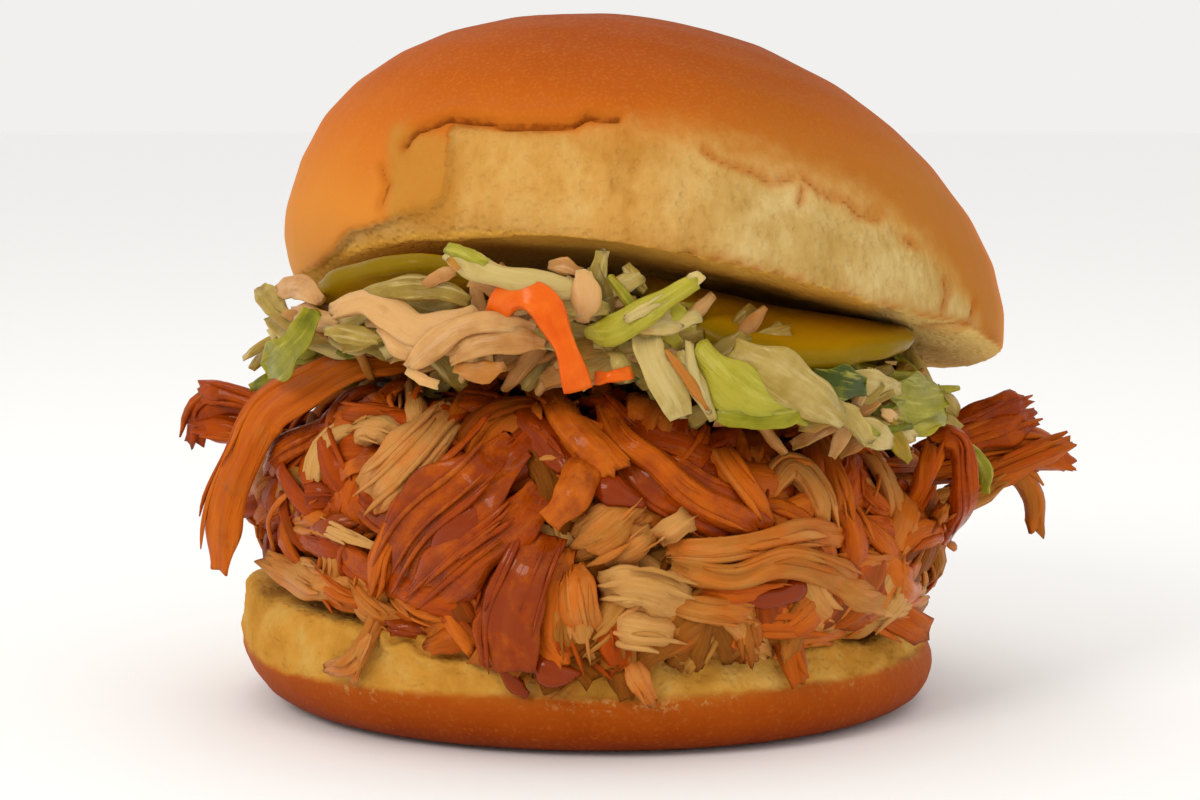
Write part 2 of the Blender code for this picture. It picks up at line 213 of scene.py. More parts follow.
class Finish:
    """A material under construction, with a Principled shader that it feeds."""

    def __init__(self, name):
        self.material = bpy.data.materials.new(name)
        self.material.use_nodes = True
        self.nodes = self.material.node_tree.nodes
        self.links = self.material.node_tree.links
        self.surface = self.nodes["Principled BSDF"]

    def add(self, kind, settings=None, values=None, output=0):
        """Adds a node: its settings first, then the values or links of its sockets."""
        node = self.nodes.new(kind)
        for key, value in (settings or {}).items():
            if key == "stops":
                ramp = node.color_ramp
                while len(ramp.elements) < len(value):
                    ramp.elements.new(1.0)
                for element, (position, colour) in zip(ramp.elements, value):
                    element.position = position
                    element.color = (*colour, 1.0)
            else:
                setattr(node, key, value)
        self.feed(node, values or {})
        return Shade(self, node.outputs[output])

    def feed(self, node, values):
        for key, value in values.items():
            socket = node.inputs[key]
            if isinstance(value, Shade):
                self.links.new(value.socket, socket)
            elif isinstance(value, tuple) and len(value) == 3 and socket.type == "RGBA":
                socket.default_value = (*value, 1.0)
            else:
                socket.default_value = value

    def wear(self, **values):
        """Feeds the surface; a name with underscores is the socket's name with spaces."""
        self.feed(self.surface, {key.replace("_", " "): value for key, value in values.items()})

    def place(self):
        return self.add("ShaderNodeTexCoord", output="Object")

    def feature(self, name, output="Fac"):
        return self.add("ShaderNodeAttribute", {"attribute_name": name}, output=output)

    def noise(self, where, size_mm, detail=4.0, rough=0.55, twist=0.0):
        """Cloudy values from 0 to 1, in clouds about that size across."""
        return self.add(
            "ShaderNodeTexNoise",
            values={
                "Vector": where,
                "Scale": 1000 / size_mm,
                "Detail": detail,
                "Roughness": rough,
                "Distortion": twist,
            },
        )

    def cells(self, where, size_mm):
        """Distance to the nearest of points strewn that far apart, as a share of it."""
        values = {"Vector": where, "Scale": 1000 / size_mm}
        return self.add("ShaderNodeTexVoronoi", values=values, output="Distance")

    def stretch(self, where, along):
        """The same place drawn out by a share for each axis."""
        return self.add("ShaderNodeVectorMath", {"operation": "MULTIPLY"}, {0: where, 1: along})

    def step(self, values, low, high, start=0.0, end=1.0):
        """start below low, end above high, and a smooth step between."""
        return self.add(
            "ShaderNodeMapRange",
            {"interpolation_type": "SMOOTHSTEP"},
            {"Value": values, "From Min": low, "From Max": high, "To Min": start, "To Max": end},
        )

    def blend(self, share, first, second):
        """Colour first where share is 0, second where it is 1."""
        return self.add("ShaderNodeMix", {"data_type": "RGBA"}, {0: share, 6: first, 7: second}, 2)

    def ramp(self, share, *stops):
        return self.add("ShaderNodeValToRGB", {"stops": stops}, {0: share})

    def bump(self, height, depth_mm, strength):
        return self.add(
            "ShaderNodeBump", values={"Strength": strength, "Distance": depth_mm * MM, "Height": height}
        )


def spongy(bread, place):
    """Relief of soft bread: small round holes and fine grain."""
    pores = bread.step(bread.cells(place, 1.3), 0.08, 0.50)
    return 0.55 * pores + 0.7 * bread.noise(place, 0.8, 3)


def crown_finish():
    """Baked crust that pales down the side, cracked and torn open at the front."""
    bread = Finish("crown_crust")
    place = bread.place()
    rise = bread.feature("rise")
    pale = bread.feature("pale")
    dry = bread.feature("dry")
    crack_mm = bread.feature("crack")
    toast = bread.feature("toast")
    mottle = bread.noise(place, 17, 3)
    fine = bread.noise(place, 2.4, 4, 0.6)
    speckle = bread.noise(place, 0.55, 2)
    baked = bread.ramp(
        rise + 0.20 * (mottle - 0.5) + 0.05 * (fine - 0.5),
        (0.02, (0.60, 0.250, 0.045)),
        (0.25, (0.62, 0.215, 0.028)),
        (0.50, (0.56, 0.145, 0.013)),
        (0.74, (0.43, 0.088, 0.006)),
        (0.98, (0.30, 0.052, 0.004)),
    )
    baked = bread.blend(0.20 * bread.step(speckle, 0.48, 0.70), baked, (0.62, 0.22, 0.035))
    streaks = bread.noise(bread.stretch(place, (1.0, 1.0, 0.22)), 1.3, 4, 0.6)
    cloud = bread.noise(place, 8, 3) + 0.45 * (streaks - 0.5)
    golden = bread.ramp(
        cloud,
        (0.25, (0.46, 0.205, 0.035)),
        (0.50, (0.56, 0.285, 0.065)),
        (0.72, (0.60, 0.350, 0.100)),
    )
    chalky = bread.ramp(
        cloud,
        (0.25, (0.40, 0.235, 0.055)),
        (0.50, (0.50, 0.325, 0.105)),
        (0.72, (0.60, 0.440, 0.180)),
    )
    crumb = bread.blend(dry * bread.step(pale, 0.45, 1.00, 0.25, 1.0), golden, chalky)
    # painted light: the underside faces down into shade, so it is blended towards bright crumb colours that
    # stand in for the light it does not get
    under = bread.feature("under")  # -1 on the underside at the left and middle, 1 at the right, 0 elsewhere
    crumb = bread.blend(bread.step(under, 0.0, 1.0, 0.0, 0.8), crumb, (0.72, 0.48, 0.15))
    crumb = bread.blend(bread.step(under, -1.0, 0.0, 0.85, 0.0), crumb, (0.80, 0.42, 0.060))
    torn = bread.step(pale + 0.50 * (bread.noise(place, 3.0, 4, 0.6) - 0.5), 0.10, 0.90)
    baked = bread.blend(0.75 * dry * bread.step(rise, 0.95, 0.55), baked, (0.38, 0.145, 0.018))
    baked = bread.blend(0.30 * dry * bread.step(rise, 0.60, 0.95), baked, (0.26, 0.070, 0.003))
    colour = bread.blend(torn, baked, crumb)
    colour = bread.blend(0.70 * bread.feature("rubbed"), colour, (0.45, 0.190, 0.024))
    browned = toast * bread.step(bread.noise(place, 4.0, 4), 0.25, 0.60)
    colour = bread.blend(0.80 * browned, colour, (0.40, 0.125, 0.010))
    # Each crack gets a reddish-brown band of its own colour and, in its middle, a near-black core that is
    # painted shade deep in the groove.
    ragged = crack_mm + 0.6 * (bread.noise(place, 1.3, 3) - 0.5)
    colour = bread.blend(0.55 * bread.step(crack_mm, 1.8, 0.3), colour, (0.44, 0.12, 0.010))
    colour = bread.blend(0.80 * bread.step(ragged, 0.55, 0.12), colour, (0.17, 0.030, 0.002))
    height = 0.30 * (1 - torn) * (fine + speckle) + torn * (spongy(bread, place) + 0.6 * streaks)
    bread.wear(
        Base_Color=colour,
        Roughness=0.55 + 0.30 * torn,
        Normal=bread.bump(height, 0.55, 0.6),
        Specular_IOR_Level=0.03,
        Specular_Tint=(1.0, 0.60, 0.25),
    )
    return bread.material


def heel_finish():
    """Dark baked crust below a torn pale edge that is stained by the filling."""
    bread = Finish("heel_crust")
    place = bread.place()
    crust_mm = bread.feature("crust")
    stain = bread.feature("stain")
    rise = bread.feature("rise")
    fine = bread.noise(place, 1.8, 4, 0.6)
    baked = bread.ramp(
        rise + 0.35 * (bread.noise(place, 9, 4) - 0.5) + 0.12 * (fine - 0.5),
        (0.05, (0.200, 0.024, 0.0010)),
        (0.35, (0.290, 0.046, 0.002)),
        (0.70, (0.350, 0.066, 0.005)),
        (1.00, (0.440, 0.130, 0.014)),
    )
    baked = bread.blend(0.30 * bread.step(bread.noise(place, 0.7, 2), 0.52, 0.75), baked, (0.44, 0.14, 0.02))
    crumb = bread.ramp(
        bread.noise(place, 6, 4),
        (0.25, (0.43, 0.180, 0.018)),
        (0.50, (0.55, 0.265, 0.040)),
        (0.75, (0.58, 0.350, 0.085)),
    )
    edge = crust_mm + 2.6 * (bread.noise(bread.stretch(place, (0.5, 0.5, 1.0)), 3.4, 5, 0.6) - 0.5)
    pale = bread.step(edge, -0.5, 0.9)
    colour = bread.blend(pale, baked, crumb)
    scuffs = bread.step(bread.noise(place, 1.2, 4, 0.65), 0.54, 0.64) * bread.step(edge, -2.8, -0.3)
    scuffs = scuffs * bread.step(bread.noise(place, 14, 2), 0.45, 0.60)
    colour = bread.blend(0.50 * scuffs * (1 - pale), colour, (0.52, 0.30, 0.10))
    soaked = bread.step(stain + 0.5 * (bread.noise(place, 4, 4) - 0.5), 0.35, 0.75)
    colour = bread.blend(0.80 * soaked, colour, (0.29, 0.050, 0.003))
    height = 0.5 * (1 - pale) * fine + pale * spongy(bread, place)
    bread.wear(
        Base_Color=colour,
        Roughness=0.58 + 0.26 * pale - 0.28 * soaked,
        Normal=bread.bump(height, 0.5, 0.6),
        Specular_IOR_Level=0.05,
        Specular_Tint=(1.0, 0.50, 0.18),
    )
    return bread.material


def meat_finish(name):
    """Long-fibred meat, tan where it is bare and orange to red-brown where sauce coats it."""
    meat = Finish(name)
    lie = meat.feature("lie", "Vector")
    sauce = meat.feature("sauce")
    tone = meat.feature("tone")
    place = meat.place()
    fibres = meat.noise(meat.stretch(lie, (1.0, 1.0, 0.07)), 0.45, 3, 0.6)
    bundles = meat.noise(meat.stretch(lie, (1.0, 1.0, 0.12)), 1.5, 3, 0.5, 0.3)
    bare = meat.ramp(
        tone + 0.55 * (bundles - 0.5) + 0.35 * (fibres - 0.5),
        (0.02, (0.15, 0.038, 0.003)),
        (0.35, (0.27, 0.088, 0.010)),
        (0.70, (0.40, 0.170, 0.030)),
        (1.00, (0.56, 0.290, 0.085)),
    )
    runs = 0.60 * (meat.noise(place, 5.5, 4, 0.6) - 0.5) + 0.35 * (bundles - 0.5)
    coated = meat.step(sauce + runs, 0.12, 0.62)
    thick = meat.step(sauce + 0.80 * (meat.noise(place, 3.4, 4, 0.6) - 0.5), 0.60, 1.00)
    glaze = meat.ramp(
        0.55 * tone + 0.65 * bundles + 0.2 * (fibres - 0.5),
        (0.20, (0.180, 0.016, 0.0003)),
        (0.50, (0.390, 0.048, 0.0005)),
        (0.80, (0.540, 0.108, 0.0025)),
    )
    colour = meat.blend(0.90 * coated, bare, glaze)
    colour = meat.blend(0.80 * thick, colour, (0.185, 0.018, 0.0003))
    # painted shade: parts close to the heart are darkened to near black, standing in for shade in the hollows
    # between shreds
    colour = meat.blend(0.80 * meat.feature("sunk"), colour, (0.045, 0.006, 0.0003))
    height = (1 - 0.70 * thick) * (0.6 * fibres + 0.8 * bundles)
    meat.wear(
        Base_Color=colour,
        Roughness=0.48 - 0.16 * coated - 0.10 * thick,
        Coat_Weight=0.10 * coated + 0.35 * thick,
        Coat_Roughness=0.06,
        Coat_IOR=1.36,
        IOR=1.30,
        Normal=meat.bump(height, 0.50, 0.9),
        Specular_IOR_Level=0.35,
        Specular_Tint=(1.0, 0.42, 0.12),
    )
    return meat.material


def cabbage_finish(name, deep, middle, light, vein):
    """Wet, ribbed cabbage; its tone runs from deep to light and its edges are paler."""
    leaf = Finish(name)
    lie = leaf.feature("lie", "Vector")
    tone = leaf.feature("tone")
    sauce = leaf.feature("sauce")
    ribs = leaf.noise(leaf.stretch(lie, (1.0, 1.0, 0.10)), 0.9, 4, 0.6, 0.4)
    clouds = leaf.noise(lie, 3.6, 3)
    colour = leaf.ramp(
        tone + 0.9 * (clouds - 0.5) + 0.5 * (ribs - 0.5), (0.12, deep), (0.48, middle), (0.90, light)
    )
    colour = leaf.blend(0.6 * leaf.step(ribs, 0.54, 0.68), colour, vein)
    dressed = leaf.step(sauce + 1.0 * (leaf.noise(leaf.place(), 3.2, 4) - 0.5), 0.42, 0.90)
    colour = leaf.blend(0.75 * dressed, colour, (0.44, 0.14, 0.010))
    leaf.wear(
        Base_Color=colour,
        Roughness=0.34,
        Coat_Weight=0.10,
        Coat_Roughness=0.10,
        Normal=leaf.bump(ribs + 0.4 * clouds, 0.5, 0.8),
        Subsurface_Weight=0.30,
        Subsurface_Radius=(0.0025, 0.0020, 0.0006),
        Subsurface_Scale=1.0,
        Specular_IOR_Level=0.25,
        Specular_Tint=(1.0, 0.85, 0.45),
    )
    return leaf.material


def carrot_finish():
    """Bright raw carrot with a paler core and fine cut marks."""
    carrot = Finish("carrot")
    lie = carrot.feature("lie", "Vector")
    grain = carrot.noise(carrot.stretch(lie, (1.0, 1.0, 0.15)), 0.9, 3)
    clouds = carrot.noise(lie, 5, 3)
    colour = carrot.ramp(
        clouds + 0.4 * (grain - 0.5),
        (0.25, (0.62, 0.066, 0.0008)),
        (0.55, (0.72, 0.115, 0.003)),
        (0.80, (0.78, 0.190, 0.020)),
    )
    carrot.wear(
        Base_Color=colour,
        Roughness=0.30,
        Coat_Weight=0.15,
        Coat_Roughness=0.08,
        Specular_IOR_Level=0.30,
        Specular_Tint=(1.0, 0.5, 0.2),
        Normal=carrot.bump(grain, 0.3, 0.5),
        Subsurface_Weight=0.2,
        Subsurface_Radius=(0.003, 0.001, 0.0004),
        Subsurface_Scale=1.0,
    )
    return carrot.material


def pickle_finish():
    """Pickled cucumber: dark warty skin, olive flesh, and a seedy middle."""
    pickle = Finish("pickle")
    place = pickle.place()
    reach = pickle.feature("reach")
    cloud = pickle.noise(place, 4, 4)
    seeds = pickle.step(pickle.cells(place, 3.0), 0.18, 0.32) * pickle.step(reach, 0.62, 0.50)
    colour = pickle.ramp(
        reach + 0.10 * (cloud - 0.5),
        (0.30, (0.30, 0.150, 0.0015)),
        (0.62, (0.40, 0.190, 0.0012)),
        (0.90, (0.34, 0.170, 0.0010)),
        (0.99, (0.22, 0.130, 0.0015)),
    )
    colour = pickle.blend(0.35 * (1 - seeds) * pickle.step(reach, 0.62, 0.50), colour, (0.42, 0.23, 0.006))
    pickle.wear(
        Base_Color=colour,
        Roughness=0.32,
        Coat_Weight=0.06,
        Coat_Roughness=0.12,
        Specular_IOR_Level=0.10,
        Specular_Tint=(1.0, 0.8, 0.3),
        Normal=pickle.bump(cloud + 0.5 * pickle.noise(place, 1.2, 3), 0.4, 0.5),
        Subsurface_Weight=0.25,
        Subsurface_Radius=(0.002, 0.002, 0.0005),
        Subsurface_Scale=1.0,
    )
    return pickle.material


def depth_finish(name, deep, near):
    """What shows between the shreds: the wet, lumpy heart of the heap, coloured dark as painted shade so the
    gaps look deep.
    """
    heart = Finish(name)
    place = heart.place()
    cloud = heart.noise(place, 3.0, 4, 0.6)
    heart.wear(
        Base_Color=heart.ramp(cloud, (0.3, deep), (0.7, near)),
        Roughness=0.60,
        Specular_IOR_Level=0.12,
        Specular_Tint=(1.0, 0.5, 0.2),
        Normal=heart.bump(cloud, 1.2, 0.8),
    )
    return heart.material


# ---------------------------------------------------------------- the bun

# Lines across the front of the bun are given as x and height in mm.
MAIN_CRACK = [(-27, 85), (-25, 87), (-20, 88.4), (-13, 88), (-3, 88), (-1, 89.2), (3, 89)]
SMALL_CRACKS = [
    [(15, 84.5), (20, 82), (24, 80.2), (27, 81)],
    [(29, 81), (31, 79), (34, 78), (37, 75.6), (40, 75.4)],
    [(28.5, 79.4), (28, 77.8)],
    [(44, 71.5), (45.5, 70.5)],
    [(50.2, 66), (50.6, 63.8), (49.6, 62.2)],
    [(46, 58.2), (52.5, 58.6), (54.3, 59.6), (54.6, 61.8)],
    [(-30.5, 82), (-29, 79.5), (-30, 76.4)],
    [(-27, 83.6), (-26.4, 84.6)],
]
FLAP_EDGE = [(-20, 88.4), (-20.6, 82), (-22.2, 78), (-30, 75), (-34.5, 73.4), (-39, 69)]
# Where the pale torn bread begins, across the front from left to right: x, height and width of the
# change in mm.
PALE_TOP = np.array([
    (-60, 52, 3), (-46, 61, 3), (-39, 69.5, 2.0), (-34.5, 73.4, 1.2), (-30, 75, 1.0), (-22.2, 78, 1.0),
    (-20.8, 82, 0.8), (-20, 88.2, 1.2), (-9, 88, 1.6), (-3, 89, 4), (5, 94.5, 14), (15, 95, 17),
    (26, 90.5, 16), (35, 86, 14), (42, 82, 13), (50, 74, 11), (54, 66, 8), (62, 50, 6),
]).T


# The upper half in metres: its middle, its rim, how high it rises over that, and how much it falls to
# the right for each metre.
CROWN_CENTRE = (0.006, 0.0, 0.073)
CROWN_RIM, CROWN_HEIGHT, CROWN_SLANT = 0.056, 0.048, 0.16
UNCRACKED_MM = 50.0  # the distance to a crack where there is none


def crown():
    """The upper bun half: a domed crust whose front is cracked and torn down to soft crumb."""
    grid = skin_of("bun_crown", CROWN_CENTRE, 500, 176, flat=0.75, crowd=0.45)
    normal = outward(grid)
    x_mm, z_mm = grid[..., 0] / MM, grid[..., 2] / MM
    at_front = (grid[..., 1] < -0.008).astype(float)
    wander = 0.8 * lumps(grid, 0.006, 3)
    top = np.interp(x_mm + wander, PALE_TOP[0], PALE_TOP[1])
    change = np.interp(x_mm, PALE_TOP[0], PALE_TOP[2])
    front_share = ease(-0.008, -0.020, grid[..., 1])
    pale = ease(0.0, 1.0, (top + 0.6 * wander - z_mm) / change) * front_share
    rubbed = ease(-30.5, -28, x_mm) * ease(-18, -21, x_mm) * ease(87.5, 84, z_mm + 0.25 * (x_mm + 20))
    rubbed = rubbed * ease(73, 77, z_mm) * front_share
    pale = np.maximum(pale, 0.45 * rubbed)
    pale = np.maximum(pale, ease(-0.35, -0.75, normal[..., 2]))
    crack = from_line(x_mm, z_mm + 0.5 * lumps(grid, 0.0035, 5), MAIN_CRACK)
    small = np.full(grid.shape[:2], UNCRACKED_MM)
    for line in SMALL_CRACKS:
        away = from_line(x_mm + 0.5 * wander, z_mm + 0.7 * lumps(grid, 0.003, 7), line)
        small = np.minimum(small, away + 0.12)
    flap = from_line(x_mm, z_mm, FLAP_EDGE)
    opened = np.hypot(x_mm - 4.5 + 2 * wander, (z_mm - 81.5 + wander) * 1.1)
    fold = from_line(x_mm + 0.6 * wander, z_mm, [(12, 81), (12.5, 75), (12, 71)])
    loose = pale * (0.30 + 0.70 * ease(-6, 10, x_mm))

    push = -0.9 * ease(0.55, 1.0, pale) * ease(12, 2, x_mm) - 0.4 * pale * ease(2, 12, x_mm)
    push += 0.55 * np.exp(-((flap / 2.4) ** 2)) * (1 - pale) * at_front
    push += (0.50 * np.exp(-(((crack - 1.5) / 1.0) ** 2)) - 1.3 * ease(0.65, 0.0, crack)) * at_front
    push += -0.45 * ease(0.7, 0.2, small) * at_front
    push += ease(4.5, 1.5, opened) * at_front * (0.9 * rough_lumps(grid, 0.0021, 9) - 0.5)
    push += -0.6 * np.exp(-((fold / 1.1) ** 2)) * at_front
    push += loose * 0.50 * rough_lumps(grid * (1.0, 1.0, 0.40), 0.0046, 12)
    push += loose * 0.20 * rough_lumps(grid, 0.0013, 15, 2)
    push += (1 - pale) * 0.30 * rough_lumps(grid, 0.013, 20)
    grid = grid + normal * (push * MM)[..., None]
    up = normal[..., 2]
    lip = ease(0.35, -0.10, up) * ease(-0.97, -0.65, up) * ease(-0.026, -0.042, grid[..., 1])
    grid[..., 2] -= 1.6 * MM * lip * (0.45 + 0.55 * ease(-28, -18, x_mm))

    height = (grid[..., 2] - CROWN_RIM + CROWN_SLANT * (grid[..., 0] - CROWN_CENTRE[0])) / CROWN_HEIGHT
    toast = ease(0.15, -0.25, up) * ease(-0.80, -0.35, up) * ease(2, 14, x_mm) * front_share
    make_skin(
        "bun_crown_crust", grid, crown_finish(), "crust", ["bun_crown"],
        rise=np.clip(height, 0, 1),
        pale=pale,
        dry=ease(0, 28, x_mm) * front_share,
        crack=np.where(at_front > 0, np.minimum(crack, small + 0.15), UNCRACKED_MM),
        toast=toast,
        rubbed=rubbed,
        # under marks the underside that is painted lighter, as painted light
        under=ease(-0.2, -0.6, up) * (ease(36, 46, x_mm) * 2 - 1),
    )


HEEL_TEARS = [[(-29, 16.2), (-24, 15.2), (-20, 14.9), (-16, 14.2)], [(22, 15.5), (27, 14.6), (33, 15.0)]]


def heel():
    """The lower bun half: dark crust below, a torn pale edge above, soaked with sauce here and there."""
    grid = skin_of("bun_heel", (-0.0015, 0.0, 0.0085), 440, 110, flat=0.16, crowd=0.45, smooth=3)
    normal = outward(grid)
    side = np.hypot(grid[..., 0], grid[..., 1]) > 0.040
    low = ease(0.0006, 0.0030, grid[..., 2])
    crust_mm = (grid[..., 2] - 0.0088 - 0.0012 * lumps(grid * (1, 1, 0), 0.018, 2)) / MM
    crust_mm += 0.025 * np.maximum(0, grid[..., 1] / MM + 30)
    torn = ease(-0.4, 0.8, crust_mm)
    push = 0.30 * rough_lumps(grid, 0.010, 4) + torn * (0.80 * rough_lumps(grid, 0.0046, 6) - 0.45)
    push *= low * side
    x_mm, z_mm = grid[..., 0] / MM, grid[..., 2] / MM
    for tear in HEEL_TEARS:
        apart = from_line(x_mm, z_mm + 0.8 * lumps(grid, 0.003, 3), tear)
        lifted = 0.7 * np.exp(-(((apart - 1.4) / 0.8) ** 2))
        push += (grid[..., 1] < 0) * (lifted - 1.1 * ease(0.9, 0.1, apart))
    grid = grid + normal * (push * MM)[..., None]
    grid[..., 2] = np.maximum(grid[..., 2], 0.0)
    stain = 0.5 * np.exp(-(((grid[..., 0] + 0.010) / 0.010) ** 2)) + 0.30 * ease(0.013, 0.017, grid[..., 2])
    stain += 0.25 * lumps(grid, 0.012, 8)
    stain *= ease(0.004, 0.010, grid[..., 2])
    make_skin(
        "bun_heel_crust", grid, heel_finish(), "crust", ["bun_heel"],
        rise=np.clip(grid[..., 2] / 0.011, 0, 1),
        crust=crust_mm,
        stain=stain,
    )


# ---------------------------------------------------------------- shreds and leaves


def smooth_route(points, spacing=0.0013):
    """Evenly spaced points of a smooth curve through the given ones."""
    points = np.asarray(points, float)
    ends = np.concatenate([[2 * points[0] - points[1]], points, [2 * points[-1] - points[-2]]])
    dense = []
    for a, b, c, d in zip(ends, ends[1:], ends[2:], ends[3:]):
        t = np.linspace(0, 1, 14, endpoint=False)[:, None]
        squared, cubed = (2 * a - 5 * b + 4 * c - d) * t**2, (3 * b - a - 3 * c + d) * t**3
        dense.append(0.5 * (2 * b + (c - a) * t + squared + cubed))
    dense = np.concatenate([*dense, points[-1:]])
    travelled = np.concatenate([[0], np.cumsum(np.linalg.norm(np.diff(dense, axis=0), axis=1))])
    count = max(4, int(travelled[-1] / spacing) + 1)
    even = np.linspace(0, travelled[-1], count)
    return np.stack([np.interp(even, travelled, dense[:, k]) for k in range(3)], -1), even


class Pile:
    """Collects shreds or leaves that share a finish into one mesh."""

    def __init__(self):
        self.places, self.faces, self.lie, self.sauce, self.tone = [], [], [], [], []
        self.size = 0

    def frames(self, points, facing, spacing):
        """An even route with its directions along, across and out."""
        route, travelled = smooth_route(points, spacing)
        along = unit(np.gradient(route, axis=0))
        facing = np.asarray(facing, float)
        if facing.ndim == 2:
            spread = np.linspace(0, 1, len(facing))
            even = np.linspace(0, 1, len(route))
            facing = np.stack([np.interp(even, spread, facing[:, k]) for k in range(3)], -1)
        across = unit(np.cross(along, facing))
        return route, travelled, along, across, np.cross(across, along)

    def lay(self, points, width, thick, facing, sauce, tone, sides, fray, curl=0.0, ruffle=0.0, groove=0.0,
            grain=1.4, ridges=0.05, blunt=0.5, boxy=1.0, spacing=0.0013):
        """Lays one bundle of fibres, or one strip of leaf, along a smooth route.

        width, thick and ruffle are in metres. fray is how ragged its ends are, groove how deep its fibres
        part and grain how far apart they lie, in mm. curl bends it into a trough, blunt is how wide its
        ends stay, and boxy squares its section below 1.
        """
        route, travelled, along, across, out = self.frames(points, facing, spacing)
        turn = np.linspace(0, math.tau, sides, endpoint=False)
        phase = chance.uniform(0, math.tau, 4)
        profile = 1 + ridges * (np.sin(3 * turn + phase[0]) * 0.5 + 0.8 * np.sin(5 * turn + phase[1]))
        share = travelled / travelled[-1]
        end_room = np.minimum(share, 1 - share) * travelled[-1] / max(width, 0.003)
        taper = blunt + (1 - blunt) * ease(0.0, 1.0, end_room)
        swell = 1 + 0.16 * np.sin(share * chance.uniform(4, 9) + phase[2])
        swell += 0.08 * np.sin(share * 15 + phase[3])
        cosine = np.sign(np.cos(turn)) * np.abs(np.cos(turn)) ** boxy
        sine = np.sign(np.sin(turn)) * np.abs(np.sin(turn)) ** boxy
        x = width / 2 * (taper * swell)[:, None] * cosine * profile
        y = thick / 2 * (0.30 + 0.70 * ease(0, 0.8, end_room))[:, None] * sine * profile
        if groove:
            spot = np.stack([x / (grain * MM), np.broadcast_to(travelled[:, None] / 0.0085, x.shape)], -1)
            deep = np.abs(lumps(spot, 1.0, phase[0])) - 0.45 + 0.5 * lumps(spot * (0.45, 1.6), 1.0, phase[1])
            y = y + groove * MM * deep * np.sign(sine + 1e-9) * (0.25 + 0.75 * np.abs(sine))
            edge = np.stack([spot[..., 1] * 1.8, np.broadcast_to(cosine, x.shape)], -1)
            x = x * (1 + 0.10 * lumps(edge, 1.0, phase[2]))
        y = y + curl * width * (cosine**2 - 0.5)
        y = y + ruffle * np.sin(travelled[:, None] / 0.0032 + phase[1] + 1.5 * np.sign(cosine)) * cosine**2
        places = route[:, None] + across[:, None] * x[..., None] + out[:, None] * y[..., None]
        for ends, (ring, second, third) in enumerate(((0, 1, 2), (-1, -2, -3))):
            spot = np.stack([x[ring] / (0.7 * MM), np.full(sides, 40.0 * ends)], -1)
            ragged = fray * MM * lumps(spot, 1.0, phase[3])
            for row, pull in ((ring, 1.0), (second, 0.7), (third, 0.3)):
                places[row] += along[row] * (ragged * pull)[:, None]
        lie = np.stack([x, y, np.broadcast_to(travelled[:, None], x.shape)], -1) + chance.uniform(0, 1, 3)
        self.join(places, lie, sauce, tone)

    def shred(self, points, width, thick, facing, sauce, tone, curl=0.0, sides=22, fray=1.6, groove=0.42,
              grain=1.3, strays=1.0, spacing=0.0009):
        """Lays a bundle of grooved fibres, ragged at its ends, with a few loose strands along it."""
        self.lay(points, width, thick, facing, sauce, tone, sides, fray, curl, groove=groove, grain=grain,
                 ridges=0.10, blunt=chance.uniform(0.45, 0.85), spacing=spacing)
        route, travelled, along, across, out = self.frames(points, facing, spacing * 1.6)
        count = len(route)
        for k in range(int(strays * (1.5 + width / MM / 2.2))):
            first = int(count * chance.uniform(-0.15, 0.45))
            last = int(count * chance.uniform(0.6, 1.1))
            part = slice(max(first, 0), min(last, count))
            length = len(route[part])
            if length < 4:
                continue
            s = np.linspace(0, 1, length)
            side = chance.uniform(-0.46, 0.46)
            drift = lumps(np.stack([s * 2.2, np.full(length, k * 5.0)], -1), 1.0, travelled[-1] * 999)
            off = width * side * (1 + 0.25 * s) + 0.35 * MM * drift
            rise = thick * (0.42 - 0.9 * side**2) + 0.30 * MM * drift[::-1] + 0.6 * MM * ease(0.75, 1.0, s)
            spots = route[part] + across[part] * off[:, None] + out[part] * rise[:, None]
            self.lay(spots, chance.uniform(0.5, 1.5) * MM, chance.uniform(0.5, 0.9) * MM, out[part], sauce,
                     tone + chance.normal(0, 0.10), sides=6, fray=0.2, blunt=0.25, spacing=spacing * 1.6)

    def join(self, places, lie, sauce, tone):
        """Adds one tube of rings, closed at both ends."""
        count, sides = places.shape[:2]
        caps = np.stack([places[0].mean(0), places[-1].mean(0)])
        index = self.size + np.arange(count * sides).reshape(count, sides)
        right = np.roll(index, -1, 1)
        self.faces += np.stack([index[:-1], index[1:], right[1:], right[:-1]], -1).reshape(-1, 4).tolist()
        low = self.size + count * sides
        self.faces += [(low, index[0, s], right[0, s]) for s in range(sides)]
        self.faces += [(low + 1, right[-1, s], index[-1, s]) for s in range(sides)]
        self.places += [places.reshape(-1, 3), caps]
        self.lie += [lie.reshape(-1, 3), np.stack([lie[0].mean(0), lie[-1].mean(0)])]
        self.sauce.append(np.full(count * sides + 2, sauce))
        self.tone.append(np.full(count * sides + 2, tone))
        self.size += count * sides + 2

    def make(self, name, finish, slot, stands_for=(), heap=None):
        """Turns the pile into a piece. Over a heap, each part also knows how near the heart it lies, for
        painted shade in the hollows.
        """
        places = np.concatenate(self.places)
        sunk = np.zeros(len(places))
        if heap:
            # painted shade mask: 1 within about 0.6 mm of the heart, fading out by 2.4 mm
            sunk = ease(2.4, 0.6, np.array([heap.height(place) for place in places]) / MM)
        make_piece(
            name, places, self.faces, finish, slot, stands_for,
            lie=np.concatenate(self.lie),
            sauce=np.concatenate(self.sauce),
            tone=np.concatenate(self.tone),
            sunk=sunk,
        )


